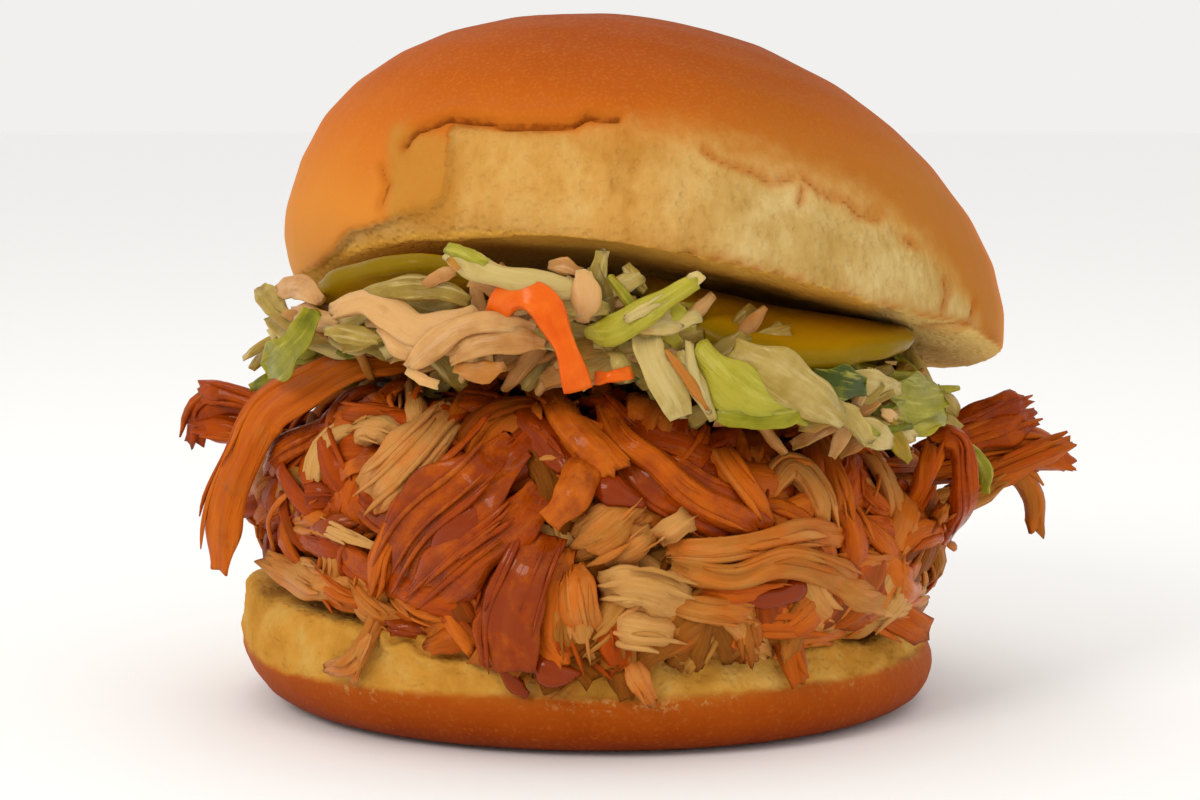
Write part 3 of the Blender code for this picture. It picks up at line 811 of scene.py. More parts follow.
class Heap:
    """The heart of a heap, and where things lie on it."""

    lower_bun = solid_tree("bun_heel")

    def __init__(self, node, centre, shrink, worn, flat):
        self.grid = skin_of(node, centre, 150, 70, flat=flat, shrink=shrink, worn=worn)
        self.normal = outward(self.grid)
        self.grid = self.grid + self.normal * (0.9 * MM * rough_lumps(self.grid, 0.007, 2))[..., None]
        self.places, self.faces = closed_grid(self.grid)
        steps = np.cross(np.gradient(self.grid, axis=0), np.gradient(self.grid, axis=1))
        self.areas = np.cumsum(np.linalg.norm(steps, axis=-1).ravel())
        self.tree = BVHTree.FromPolygons(self.places.tolist(), self.faces)

    def nearest(self, place):
        spot, normal, _, _ = self.tree.find_nearest(Vector(place))
        return np.array(spot), np.array(normal)

    def height(self, place):
        """How far a place lies outside the heart."""
        spot, normal = self.nearest(place)
        return (place - spot) @ normal

    def from_front(self, x_mm, z_mm):
        """The point and normal that show at a place in the front view, on the heap or on the bun below it.

        Low down it is the foremost point for some way up, so that shreds hang down past the heap's foot.
        """
        levels = (0, 3, 6) if z_mm < 24 else (0,)
        starts = [Vector((x_mm * MM, -0.2, (z_mm + level) * MM)) for level in levels]
        trees = (self.tree, self.lower_bun)
        hits = [tree.ray_cast(start, Vector((0, 1, 0)))[:2] for start in starts for tree in trees]
        hits = [hit for hit in hits if hit[0] is not None and hit[0].y < -0.004]
        if not hits:
            return self.nearest((x_mm * MM, -0.024, z_mm * MM))
        spot, normal = min(hits, key=lambda hit: hit[0].y)
        return np.array(spot), np.array(normal)

    def route_over(self, start, heading, length, lift_mm, bend, sag=0.0, step=0.004):
        """A route that follows the heap from a start, and the way out of the heap along it."""
        place, heading = np.array(start), unit(np.array(heading, float))
        points, facing = [], []
        count = max(3, int(length / step) + 1)
        for k in range(count):
            spot, normal = self.nearest(place)
            arch = math.sin(math.pi * k / (count - 1))
            points.append(spot + normal * MM * (lift_mm[0] + (lift_mm[1] - lift_mm[0]) * arch))
            facing.append(normal)
            heading = heading + np.array((0, 0, -sag)) + np.cross(normal, heading) * bend
            heading = unit(heading - normal * (heading @ normal))
            place = spot + heading * step
        return points, facing


def random_spot(heap, lowest, highest):
    """A random point of a heap's side between two heights, every patch of it as likely as the next."""
    while True:
        number = int(np.searchsorted(heap.areas, chance.uniform(0, heap.areas[-1])))
        row, column = divmod(number, heap.grid.shape[1])
        place = heap.grid[row, column]
        if lowest < place[2] < highest:
            return place + chance.normal(0, 0.001, 3), heap.normal[row, column]


def sideways(normal, rise, spread):
    """A random heading along the side of a heap, level but for some rise or fall."""
    level = unit(np.cross(normal, (0, 0, 1)))
    return level * chance.choice((-1, 1)) + np.array((0, 0, 1)) * chance.normal(rise, spread)


def sauce_at(place):
    """How much sauce there is at a place of the heap."""
    x_mm, _, z_mm = place / MM
    amount = 0.42 + 0.36 * float(lumps(place, 0.016, 31))
    amount += 0.25 * math.exp(-(((x_mm + 22) / 20) ** 2))
    amount += 0.30 * math.exp(-(((x_mm - 8) / 14) ** 2 + ((z_mm - 44) / 10) ** 2))
    amount -= 0.30 * math.exp(-(((x_mm - 18) / 14) ** 2 + ((z_mm - 24) / 8) ** 2))
    return float(np.clip(amount, 0, 1))


# Shreds placed on the front of the heap: route as x, z and lift off the heart in mm,
# then width and thickness in mm, sauce, tone and curl.
FRONT_SHREDS = [
    # the long shred that hangs at the left, and what shows beside it
    ([(-24, 53.5, 4), (-34, 53.5, 6), (-42, 50, 7), (-48, 46, 7),
      (-51, 39.6, 8), (-54, 32, 9), (-55, 23, 10)], 7.4, 3.6, 0.56, 0.66, 0.04),
    ([(-27, 51, 3), (-31.7, 46.8, 5), (-38.9, 43.6, 6), (-46, 40, 5), (-48, 34, 5), (-46.5, 29, 4)],
     4.6, 3.0, 0.78, 0.5, 0),
    ([(-44.5, 38.5, 2), (-41.5, 37.3, 4), (-39, 36.5, 3)], 3.6, 3.0, 0.4, 0.8, 0),
    ([(-44, 34.5, 2), (-41, 34, 4), (-38.8, 35, 3)], 4.4, 3.5, 0.5, 0.7, 0),
    ([(-43.5, 30, 2), (-40, 31.5, 4), (-37.5, 31, 3)], 3.6, 3.0, 0.4, 0.7, 0),
    ([(-34.4, 43.6, 4), (-31, 45.2, 6.5), (-27.6, 44.2, 5)], 4.6, 4.0, 0.2, 0.95, 0),
    # pale pieces and the arched strand above the sheet
    ([(-19.4, 48, 4), (-24, 43.8, 6.5), (-28.5, 39.2, 6.5), (-32.4, 35.4, 4)], 8.0, 3.4, 0.3, 0.92, 0.08),
    ([(-27, 50.5, 3), (-25.5, 47.5, 4.5), (-25.8, 45, 4)], 3.5, 2.5, 0.3, 0.9, 0),
    ([(-20.6, 45.2, 4), (-16.5, 51, 6), (-13.2, 53.4, 7.5),
      (-8.6, 50.9, 8.5), (-3.8, 46.6, 8), (2.4, 41.2, 7)], 5.4, 4.0, 0.7, 0.75, 0),
    ([(-19, 42, 3), (-14.5, 47.5, 4), (-9, 46, 5), (-4, 41.5, 5)], 4.5, 3.0, 0.9, 0.35, 0),
    # the broad sheet of sauced meat
    ([(-29.4, 23.5, 4), (-24.5, 32, 6), (-17, 38.5, 7), (-10.5, 44.2, 5)], 11.0, 3.2, 0.86, 0.5, 0.12),
    ([(-25, 21.5, 4), (-18, 28.5, 6.4), (-11, 34, 6.2), (-7.5, 38, 4)], 8.0, 3.0, 0.8, 0.45, 0.1),
    ([(-31.2, 22, 4), (-29.6, 29, 5.5), (-26, 36, 5.5)], 3.4, 3.0, 0.6, 0.6, 0),
    # strands that run down to the right
    ([(0.2, 52.5, 4), (2.6, 46, 6), (8.2, 42, 7), (13.8, 37.1, 7), (22.5, 32.3, 5)],
     3.8, 3.5, 0.72, 0.55, 0),
    ([(5, 53.3, 4), (8.2, 48.4, 6), (13.8, 44.4, 7.4), (18.5, 40.4, 7.4), (24.1, 33.1, 5)],
     4.2, 3.5, 0.6, 0.7, 0),
    ([(2, 44, 3), (7, 39, 5), (12, 35.5, 5), (18, 31.5, 4)], 4.5, 3.0, 0.85, 0.4, 0),
    ([(12.2, 48.4, 4), (17.7, 45.2, 6), (22.5, 42, 6), (26, 39, 4)], 3.4, 3.0, 0.68, 0.55, 0),
    ([(9, 41.5, 3), (14, 38.5, 5), (20, 35, 5), (25, 31, 4)], 3.5, 3.0, 0.85, 0.45, 0),
    # bent strands at the right
    ([(21.2, 40, 4), (25, 44, 7), (30, 43.8, 8), (33.7, 37.1, 7), (34.5, 31.5, 5)],
     4.4, 3.5, 0.52, 0.72, 0),
    ([(29.7, 44.4, 5), (36.1, 42.8, 7), (41.5, 36.5, 7), (44, 29.9, 5)], 4.2, 3.5, 0.62, 0.65, 0),
    ([(24, 36.5, 4), (27.5, 39.5, 6), (31, 36, 6), (32, 31, 4)], 3.6, 3.0, 0.35, 0.85, 0),
    ([(34.5, 39, 4), (39, 34.5, 6), (42.5, 31, 5)], 3.0, 2.5, 0.7, 0.5, 0),
    # strands that stand up at the right end
    ([(41.7, 23.4, 4), (45.7, 30.7, 7), (48.1, 38, 7), (49.7, 41.5, 4)], 3.5, 3.0, 0.58, 0.55, 0),
    ([(50.5, 25, 5), (53.7, 33.9, 6), (52.9, 41.2, 6), (48.1, 42.8, 5)], 4.0, 3.5, 0.75, 0.35, 0),
    ([(44, 21, 4), (48.5, 27, 6), (51, 32, 6)], 3.0, 2.5, 0.4, 0.7, 0),
    # pale chunks under the round-ended one
    ([(-2.5, 30.5, 4), (1.5, 33.5, 6), (5.5, 36.6, 5)], 6.5, 4.0, 0.35, 0.8, 0),
    ([(1, 28.5, 3), (4.5, 31, 5), (8, 33, 4)], 4.5, 3.0, 0.3, 0.85, 0),
    ([(8, 31.5, 4), (11, 33.5, 6.5), (14, 35, 4)], 3.8, 2.5, 0.25, 0.95, 0),
    # long ribbed shreds that lie across
    ([(9.8, 30.2, 4), (17.7, 30.4, 7), (28.1, 31.2, 7), (35.3, 29.6, 4)], 3.4, 2.5, 0.4, 0.75, 0.08),
    ([(10.2, 27.8, 5), (18.5, 26.4, 8), (25.7, 27.8, 8), (32.1, 25.6, 7), (37, 21.5, 5)],
     4.8, 3.0, 0.35, 0.7, 0.1),
    ([(12, 25.0, 4), (19, 23.6, 6), (27, 24.2, 6), (33, 22.0, 5)], 3.2, 2.5, 0.55, 0.6, 0),
    ([(31.3, 24.6, 5), (37.7, 21, 7), (45.5, 17.5, 5)], 3.8, 2.5, 0.3, 0.75, 0),
    ([(7.4, 24, 4), (14, 22.0, 6), (22, 20.6, 5)], 4.5, 3.0, 0.35, 0.7, 0),
    ([(20, 20, 4), (26, 19.2, 5), (33, 18.5, 4)], 4.0, 3.0, 0.55, 0.6, 0),
    # pale blocks low in the middle
    ([(0.8, 24.8, 5), (6, 25.6, 8), (11.8, 22.8, 6)], 6.6, 4.0, 0.15, 0.95, 0),
    ([(1.5, 20, 4), (7, 19.4, 7.5), (11.5, 18.5, 5)], 5.0, 3.5, 0.2, 0.92, 0),
    ([(-2.8, 28.5, 4), (-2.2, 23, 6.5), (-1, 16.5, 5)], 5.0, 3.5, 0.45, 0.85, 0),
    # what hangs below the sheet
    ([(-7, 32.3, 5), (-9.4, 26.7, 8), (-11.4, 20.2, 8), (-11, 13.7, 6)], 7.5, 3.6, 0.95, 0.5, 0.06),
    ([(-5, 30, 4), (-6.2, 24, 7), (-6.5, 18, 6.5), (-5, 14.5, 5)], 5.0, 3.0, 0.7, 0.75, 0),
    ([(-12, 26, 3), (-15, 20, 5), (-14.5, 15, 4)], 4.0, 3.0, 0.85, 0.4, 0),
    # small shreds low at the left, by the lower bun half
    ([(-38, 30.5, 3), (-37, 26, 5), (-37.5, 22.5, 3)], 3.0, 2.2, 0.3, 0.7, 0),
    ([(-34, 29, 3), (-33, 25, 5), (-32.5, 21.5, 4)], 3.2, 2.2, 0.35, 0.75, 0),
    ([(-41, 28.5, 2), (-43, 24.5, 4), (-45, 22, 3)], 4.0, 3.0, 0.25, 0.85, 0),
    ([(-47.5, 27.5, 3), (-44, 24.5, 5), (-39, 22.5, 4)], 4.5, 3.0, 0.3, 0.85, 0),
    ([(-30, 24, 3), (-25, 20.6, 4), (-19, 19.5, 3)], 3.0, 2.5, 0.4, 0.6, 0),
    ([(-49, 24.5, 2), (-45, 22.4, 4), (-40, 21.6, 4), (-35, 22.4, 3)], 4.6, 3.2, 0.3, 0.85, 0),
    ([(-40, 23.4, 3), (-36, 20.8, 4.6), (-31, 20.2, 3)], 4.2, 3.0, 0.5, 0.55, 0),
    ([(-35, 22.6, 3), (-31.5, 19.6, 4.4), (-27, 18.6, 3)], 4.0, 2.8, 0.35, 0.75, 0),
    ([(-28, 20, 3), (-22, 17.6, 4), (-16, 17.6, 3)], 3.0, 2.0, 0.5, 0.5, 0),
    # a pale thread
    ([(-40.5, 31.3, 4), (-36, 30.3, 6), (-30.9, 28.8, 5)], 1.8, 1.2, 0.1, 1.0, 0),
    # what hangs over the lower bun half at the left
    ([(-30.9, 26, 6), (-30.9, 18.6, 6), (-34.1, 12.9, 3.4), (-38.1, 11, 2)], 2.8, 2.0, 0.35, 0.8, 0),
    ([(-31.5, 17, 5), (-33.6, 13.5, 3.4), (-34.2, 9.5, 1.5)], 2.0, 1.6, 0.35, 0.8, 0),
    # small pieces over the bun in the middle
    ([(4, 16.4, 5), (5.6, 12.4, 3.0), (7.4, 9, 1.4)], 3.0, 2.0, 0.42, 0.95, 0),
    ([(7, 18, 4), (10, 16, 5), (14, 14.5, 3)], 3.0, 2.2, 0.2, 0.95, 0),
    ([(15, 18, 4), (19, 16.8, 5), (24, 15, 3)], 4.5, 3.0, 0.6, 0.8, 0),
    ([(11, 19.5, 3), (9, 15, 3)], 2.4, 2.0, 0.3, 0.9, 0),
    # small pieces low at the right
    ([(25, 17, 4), (30, 16, 4), (36, 15.5, 3)], 3.0, 2.0, 0.45, 0.7, 0),
    ([(38, 20, 4), (43.5, 18.5, 6), (48.8, 18.8, 4)], 3.0, 2.0, 0.2, 1.0, 0),
    ([(45.5, 29.5, 4), (47.5, 27, 6), (48.5, 24.5, 5)], 3.2, 3.0, 0.2, 0.95, 0),
    ([(50, 31, 4), (51, 26, 5), (49.5, 21, 4)], 3.0, 2.5, 0.5, 0.5, 0),
    # strands under the slaw
    ([(-14, 55, 3), (-8, 54, 5), (-2, 53, 4)], 3.5, 2.5, 0.5, 0.7, 0),
    ([(8, 51, 4), (13, 47.5, 6), (19, 43.5, 7), (25, 38.5, 6)], 4.6, 3.2, 0.64, 0.65, 0),
    ([(14, 50, 4), (19.5, 47, 6), (25, 44.5, 6)], 4.4, 3.0, 0.75, 0.5, 0),
    ([(18, 50.5, 3), (23, 48.5, 5), (28, 46.5, 5)], 4.4, 3.0, 0.55, 0.65, 0),
    ([(28, 48.5, 4), (33, 47, 6), (38, 43, 5)], 4.0, 3.0, 0.7, 0.5, 0),
    # ridges of sauce
    ([(25, 46.5, 4), (31, 47.2, 5), (37, 45, 4)], 2.6, 2.0, 1.1, 0.2, 0),
    ([(20, 47.5, 3), (26, 48, 4), (30, 46, 3)], 2.2, 1.8, 1.1, 0.15, 0),
]

# Shreds that stand clear of the heap at its sides: route in mm, then width, thickness, sauce and tone.
FREE_SHREDS = [
    ([(44, -6, 34), (56, -5, 37), (66, -4, 38), (73, -3, 35)], 7.0, 4.0, 0.55, 0.50),
    ([(50, -8, 38), (60, -6, 41), (67, -4, 43)], 6.0, 4.0, 0.75, 0.35),
    ([(52, -6, 41), (61, -6, 44.5), (66, -5, 46)], 3.4, 3.0, 0.85, 0.30),
    ([(54, -7, 33), (63, -6, 34.5), (66.5, -5, 31), (67, -5, 26)], 3.6, 3.0, 0.4, 0.60),
    ([(54, -9, 32), (64, -7, 36), (72, -5, 39)], 4.0, 3.0, 0.5, 0.5),
    ([(48, -12, 30), (56, -9, 31), (62, -8, 34)], 4.0, 3.0, 0.3, 0.7),
    ([(-44, -8, 42), (-54, -6, 45), (-59.5, -5, 44), (-61, -5, 39.5)], 5.0, 3.4, 0.8, 0.3),
    ([(-46, -10, 44), (-55, -8, 46.5), (-60, -6, 47)], 3.6, 2.6, 0.7, 0.35),
    ([(-46, -10, 38), (-55, -8, 41), (-61, -6, 41.5)], 3.6, 3.0, 0.7, 0.35),
]

# The middle line of the round-ended chunk of meat: x, z and lift in mm.
ROUND_CHUNK = [(-1, 43, 5), (-3.2, 38, 8.4), (-6.4, 34.4, 8)]

# Where sauce has pooled over the shreds: route as x, z and lift in mm, then width and thickness.
SAUCE_POOLS = [
    ([(-1.5, 39.6, 6.4), (3, 38, 7.4), (6.8, 36.4, 6.6)], 4.6, 2.2),
    ([(-9, 16, 6.5), (-6, 13.4, 4.4), (-2, 13.2, 3.6)], 4.0, 2.0),
    ([(-13, 13.5, 3.6), (-11, 11, 1.6), (-9.5, 9.6, 1.0)], 3.4, 1.6),
    ([(20, 22.6, 6), (26, 23.0, 6.6), (30, 25, 6)], 3.6, 2.0),
    ([(3.6, 44, 5.6), (9, 40, 6.6), (14, 36.4, 6)], 2.6, 2.4),
    ([(36, 39.5, 6.4), (40.4, 35, 6.6)], 2.4, 2.0),
    ([(-23, 27, 6.2), (-18.5, 33, 7.2), (-13, 38, 6.2)], 5.0, 1.8),
    ([(26, 45.5, 5.4), (31, 45.2, 6.4), (35, 43.6, 6.2)], 2.8, 2.0),
    ([(44, 36, 5), (47, 31, 5.6), (46, 26, 4)], 2.4, 2.0),
]


def on_front(heap, route):
    """Points and ways out of the heap for a route given in the front view."""
    points, facing = [], []
    for x_mm, z_mm, lift_mm in route:
        spot, normal = heap.from_front(x_mm, z_mm)
        normal = unit(normal + np.array((0, -0.6, 0)))
        points.append((x_mm * MM, spot[1] + normal[1] * lift_mm * MM, z_mm * MM))
        facing.append(normal)
    return np.array(points), np.array(facing)


def pork():
    """The heap of pulled pork: a dark heart under layers of shreds, the best of them placed one by one."""
    heap = Heap("pulled_pork", (0.0, 0.0, 0.031), shrink=0.0046, worn=5, flat=0.8)
    # the heart is dark with painted shade, so the gaps between the shreds look deep
    make_piece(
        "pork_heart", heap.places, heap.faces,
        depth_finish("pork_depth_painted_shade", (0.030, 0.0040, 0.0002), (0.20, 0.040, 0.003)), "pork", ["pulled_pork"],
    )
    meat = meat_finish("pulled_meat")
    # How many shreds a layer has, how wide they are and how high they lie over the heart, in mm.
    layers = ((460, 4.2, 8.2, -0.2, 1.2), (600, 2.4, 5.4, 1.0, 3.2), (330, 2.0, 4.6, 2.4, 5.0))
    for layer, (number, narrow_mm, wide_mm, base_mm, top_mm) in enumerate(layers):
        pile = Pile()
        for _ in range(number):
            start, normal = random_spot(heap, 0.015, 0.060)
            if not -0.6 < normal[2] < 0.985 or layer == 2 and start[1] < -0.022:
                continue
            heading = sideways(normal, -0.15, 0.6)
            width = chance.uniform(narrow_mm, wide_mm) * MM
            points, facing = heap.route_over(
                start, heading, chance.uniform(0.010, 0.028), (base_mm - 0.6, top_mm), chance.normal(0, 0.16),
                sag=chance.uniform(0, 0.14),
            )
            if any(abs(place[0]) > 0.051 and place[2] < 0.029 for place in points):
                continue
            pile.shred(
                points, width, min(width * chance.uniform(0.40, 0.60), 0.003), facing,
                sauce=sauce_at(points[len(points) // 2]) + chance.normal(0, 0.16),
                tone=chance.uniform(-0.1, 1.0),
                sides=14, fray=1.5, strays=0.35, spacing=0.0015,
            )
        pile.make(f"pork_layer_{layer + 1}", meat, "pork", heap=heap)

    hem = Pile()
    for _ in range(150):
        x_mm, z_mm = chance.uniform(-24, 47), chance.uniform(15.0, 23.0)
        z_mm += 3.5 * ease(14, 40, abs(x_mm - 8)) * float(x_mm < 40)
        run_x, run_z = chance.normal(0, 5.0), -abs(chance.normal(1.5, 2.0))
        lift = chance.uniform(2.0, 4.6)
        route = [(min(x_mm + run_x * t, 48.5), z_mm + run_z * t, lift - 1.2 * t * t) for t in (-1, 0, 1)]
        points, facing = on_front(heap, route)
        width = chance.uniform(2.4, 6.0)
        hem.shred(points, width * MM, width * 0.5 * MM, facing, sauce_at(points[1]) + chance.normal(0, 0.16),
                  chance.uniform(-0.1, 1.0), sides=14, fray=1.4, strays=0.4, spacing=0.0012)
    hanging = 46
    for k in range(hanging):
        x_mm, lean = -21 + 66 * (k + chance.uniform(0, 0.9)) / hanging, chance.normal(0, 3.0)
        foot = chance.uniform(12.6, 16.5) + 3.0 * ease(20, 42, x_mm) + 2.0 * ease(-12, -20, x_mm)
        route = [(x_mm - lean, chance.uniform(23, 28), 4.5), (x_mm, 20, 5.0), (x_mm + lean, foot, 2.6)]
        points, facing = on_front(heap, route)
        width = chance.uniform(3.4, 7.0)
        hem.shred(points, width * MM, 0.5 * width * MM, facing,
                  sauce_at(points[1]) + chance.normal(0.05, 0.15), chance.uniform(0.0, 1.0),
                  sides=18, fray=1.6, strays=0.6, spacing=0.0011)
    hem.make("pork_hem", meat, "pork", heap=heap)

    placed = Pile()
    for route, width_mm, thick_mm, sauce, tone, curl in FRONT_SHREDS:
        points, facing = on_front(heap, route)
        broad = width_mm > 7
        placed.shred(points, width_mm * MM, thick_mm * MM, facing, sauce, tone, curl, sides=26,
                     fray=1.1 if broad else 1.6, groove=0.26 if broad else 0.42, grain=2.4 if broad else 1.3)
    for route, width_mm, thick_mm, sauce, tone in FREE_SHREDS:
        placed.shred(np.array(route) * MM, width_mm * MM, thick_mm * MM, (0, -1, 0.3), sauce, tone, fray=2.4)
    points, facing = on_front(heap, ROUND_CHUNK)
    placed.lay(points, 7.0 * MM, 4.6 * MM, facing, 0.74, 0.85, sides=22, fray=0.1, groove=0.15,
               spacing=0.0007)
    placed.make("pork_front_shreds", meat, "pork", heap=heap)

    pools = Pile()
    for route, width_mm, thick_mm in SAUCE_POOLS:
        points, facing = on_front(heap, route)
        pools.lay(points, width_mm * MM, thick_mm * MM, facing, 1.25, 0.3, sides=16, fray=0.2, ridges=0.10,
                  blunt=0.3, spacing=0.0008)
    pools.make("pork_sauce_pools", meat, "pork")

    threads = Pile()
    for _ in range(420):
        start, normal = random_spot(heap, 0.014, 0.058)
        heading = sideways(normal, -0.1, 0.6)
        lift = chance.uniform(1.5, 4.5)
        points, facing = heap.route_over(
            start, heading, chance.uniform(0.005, 0.014), (lift - 1.0, lift), chance.normal(0, 0.3),
            step=0.003,
        )
        threads.lay(points, chance.uniform(0.6, 1.6) * MM, 0.7 * MM, facing, sauce=sauce_at(points[0]),
                    tone=chance.uniform(0.3, 1.0), sides=6, fray=0.3)
    threads.make("pork_threads", meat, "pork", heap=heap)


# Cabbage placed at the front: kind, route as x, y, z in mm, then width and thickness in mm,
# tone, curl, ruffle in mm and sauce.
SLAW_PLACED = [
    # the rib and its green tip under the upper bun half
    ("pale", [(-20, -54.5, 71.0), (-15, -56.5, 68.6), (-9, -57, 67.2), (-3, -55, 66)],
     4.0, 1.8, 0.95, -0.16, 0.05, 0.0),
    ("green", [(-20.4, -54.8, 71.8), (-17.6, -56.4, 70.9), (-14.6, -57.4, 69.6)],
     2.4, 1.0, 0.75, -0.1, 0.0, 0.0),
    ("pink", [(-19.8, -57, 70.2), (-18.6, -57.4, 69.0)], 1.5, 0.8, 0.3, 0.0, 0.0, 0.9),
    # leaves on both sides of the carrot
    ("pink", [(-6.5, -53, 69.2), (-4, -54, 69), (-2, -54, 68)], 2.6, 1.2, 0.35, 0.0, 0.0, 0.2),
    ("pink", [(-2.0, -54, 61.6), (-1.4, -55.5, 64.6), (-1.7, -55.5, 68.4)], 4.2, 1.8, 1.0, 0.0, 0.0, 0.0),
    ("green", [(-1.5, -53, 60.2), (2.5, -55.5, 60.6), (7, -56.5, 63.5), (13.6, -57.5, 67.5)],
     3.7, 1.4, 0.85, -0.18, 0.05, 0.0),
    ("pale", [(4, -57.2, 62.2), (7, -57.4, 63.8), (9.6, -57.8, 65.4)], 1.8, 0.7, 0.9, 0.0, 0.0, 0.1),
    ("pale", [(12.6, -57.6, 67.2), (14.2, -57.8, 68.2)], 3.0, 0.8, 1.0, 0.0, 0.0, 0.0),
    # pinkish shreds at the left
    ("pink", [(-24, -49, 65.8), (-21.5, -51, 67.5), (-19, -52, 68.4)], 2.2, 1.4, 0.5, 0.0, 0.0, 0.2),
    ("pale", [(-33, -44, 64), (-27, -47.5, 65.6), (-21, -50, 65.4), (-17.5, -51, 64)],
     3.2, 1.6, 0.3, 0.0, 0.1, 0.3),
    ("pink", [(-37, -41, 61.8), (-32, -45, 63.6), (-28, -48, 62),
      (-24.5, -50.5, 60), (-20, -52, 60.3), (-16, -52.5, 63)], 4.4, 2.2, 0.95, 0.08, 0.2, 0.1),
    ("pale", [(-38, -42, 59.4), (-34, -45, 59), (-30, -47, 58.4)], 2.6, 1.4, 0.4, 0.0, 0.1, 0.3),
    ("pink", [(-30, -47, 60.5), (-26, -50, 57.6), (-22.5, -51.5, 57)], 3.2, 1.6, 0.8, 0.0, 0.1, 0.2),
    ("pink", [(-25.7, -51, 54.8), (-22.3, -53.5, 58), (-18.6, -54.8, 60.7),
      (-14, -55.4, 61.6), (-8.2, -55, 60.4)], 3.2, 1.8, 0.75, 0.1, 0.1, 0.2),
    ("pink", [(-25.7, -51.5, 54.6), (-23.5, -52.8, 53.4), (-21.4, -53.4, 52.8)],
     1.8, 1.0, 1.0, 0.0, 0.0, 0.0),
    ("pink", [(-19.8, -53.6, 56.6), (-15.6, -55, 58.6), (-10, -55.8, 59.2), (-6.8, -55.6, 58.6)],
     3.4, 1.8, 0.6, 0.1, 0.1, 0.45),
    ("pink", [(-19.4, -53.4, 55.4), (-16, -54.4, 54.6), (-12.6, -54.8, 55.6)],
     2.8, 1.6, 0.5, 0.1, 0.1, 0.7),
    # the left end
    ("pale", [(-49.4, -20, 64), (-47, -24, 61.5), (-44, -28, 59)], 3.4, 1.4, 0.6, 0.1, 0.2, 0.2),
    ("pink", [(-46.5, -24, 63.6), (-42.5, -30, 64.6), (-39, -36, 63)], 3.2, 1.5, 0.7, 0.1, 0.1, 0.2),
    ("pink", [(-44, -29, 60.6), (-40, -35, 60.4), (-36.5, -40, 59.6)], 3.4, 1.6, 0.75, 0.1, 0.1, 0.2),
    ("pale", [(-48, -22, 59.6), (-45.5, -26, 58), (-42, -32, 57.4)], 2.6, 1.2, 0.5, 0.1, 0.2, 0.2),
    ("green", [(-39.6, -41.5, 62.0), (-41.5, -40, 58.5), (-44.5, -36, 55), (-47.6, -30, 52.4)],
     5.0, 0.9, 0.5, 0.12, 0.6, 0.0),
    # small leaves and ribs right of the carrot
    ("pale", [(4, -50, 69), (5, -51, 67.5), (6.6, -51.5, 65.6)], 2.2, 1.0, 0.5, 0.0, 0.0, 0.1),
    ("green", [(9.2, -54, 63.8), (11, -55, 62.4), (12.8, -54.6, 61)], 3.0, 1.3, 0.85, 0.0, 0.1, 0.2),
    ("pale", [(2.2, -53, 57.6), (3.2, -54.5, 56), (4.4, -54.8, 53.6)], 2.8, 1.3, 0.6, 0.0, 0.1, 0.3),
    ("pale", [(6.4, -54, 60.4), (7.8, -56, 55.8), (10.4, -56.4, 51.4), (11.6, -55.6, 48.4)],
     4.6, 1.6, 0.8, 0.14, 0.15, 0.35),
    ("pale", [(6, -53.8, 61.4), (8.5, -55, 61.6), (11.5, -55.5, 60.8)], 1.8, 0.8, 1.0, 0.0, 0.3, 0.0),
    ("pink", [(9.4, -56.6, 58), (12.2, -57.4, 54.2), (15, -57, 50)], 1.3, 1.0, 0.3, 0.0, 0.0, 0.95),
    ("pale", [(11.2, -55, 57.6), (14, -56.6, 52.2), (15.8, -56.4, 48.6)], 2.4, 1.4, 0.7, 0.0, 0.1, 0.3),
    ("pale", [(12.6, -54.2, 59), (13.0, -56.6, 54), (15.2, -57, 49.6)], 1.9, 1.5, 0.95, 0.0, 0.1, 0.1),
    # the large leaves at the right
    ("green", [(13.6, -54, 58), (17.5, -56, 54.2), (21.5, -55.8, 51), (26, -54, 49.2)],
     7.0, 1.0, 0.95, -0.16, 0.35, 0.1),
    ("green", [(15.8, -55.8, 49.4), (20, -56.4, 48.6), (24.5, -55.4, 48.4), (27.5, -54, 48.9)],
     2.8, 1.3, 0.55, 0.1, 0.2, 0.1),
    ("pale", [(18.5, -53.4, 57.6), (24, -54.6, 54.6), (29.5, -52.8, 51), (34, -49.5, 47.6)],
     6.6, 1.2, 0.6, -0.1, 0.25, 0.3),
    # the right end
    ("green", [(29.6, -49.5, 53.6), (33, -48.5, 52.8), (37.6, -44, 51.6)], 4.4, 0.8, 0.1, 0.1, 0.6, 0.0),
    ("pale", [(34.6, -45, 53), (38.5, -42, 52), (43, -37, 50.6)], 3.2, 1.2, 0.75, 0.1, 0.3, 0.1),
    ("green", [(41, -38, 50.6), (45.5, -33, 48.8), (50.4, -26, 48.4)], 6.4, 0.8, 0.6, 0.12, 0.9, 0.1),
    ("green", [(42, -37, 47), (46.5, -32, 45.6), (50.8, -25, 46)], 5.0, 0.8, 0.7, 0.1, 0.9, 0.2),
    ("pale", [(34.5, -47, 47.4), (37.5, -45, 45.6), (41.5, -41, 43.4)], 3.4, 1.5, 0.8, 0.1, 0.3, 0.2),
    ("pale", [(33, -48.5, 49.6), (36, -47, 47), (38, -45.5, 44)], 3.0, 1.3, 0.65, 0.1, 0.3, 0.2),
    ("pink", [(40, -41.5, 47.8), (42.4, -39, 46.6)], 2.2, 1.2, 0.95, 0.0, 0.1, 0.0),
    ("pale", [(42.4, -39, 45.2), (45.4, -35, 43.2)], 2.6, 1.4, 0.85, 0.0, 0.2, 0.1),
    ("green", [(36.5, -46.5, 46.8), (39, -44.5, 44.6)], 2.6, 1.0, 0.75, 0.0, 0.3, 0.1),
    # a green thread by the pork at the right end
    ("green", [(54.2, -22, 41), (57, -20, 37.6), (57.5, -20, 33.4)], 2.0, 1.2, 0.6, 0.0, 0.0, 0.4),
]


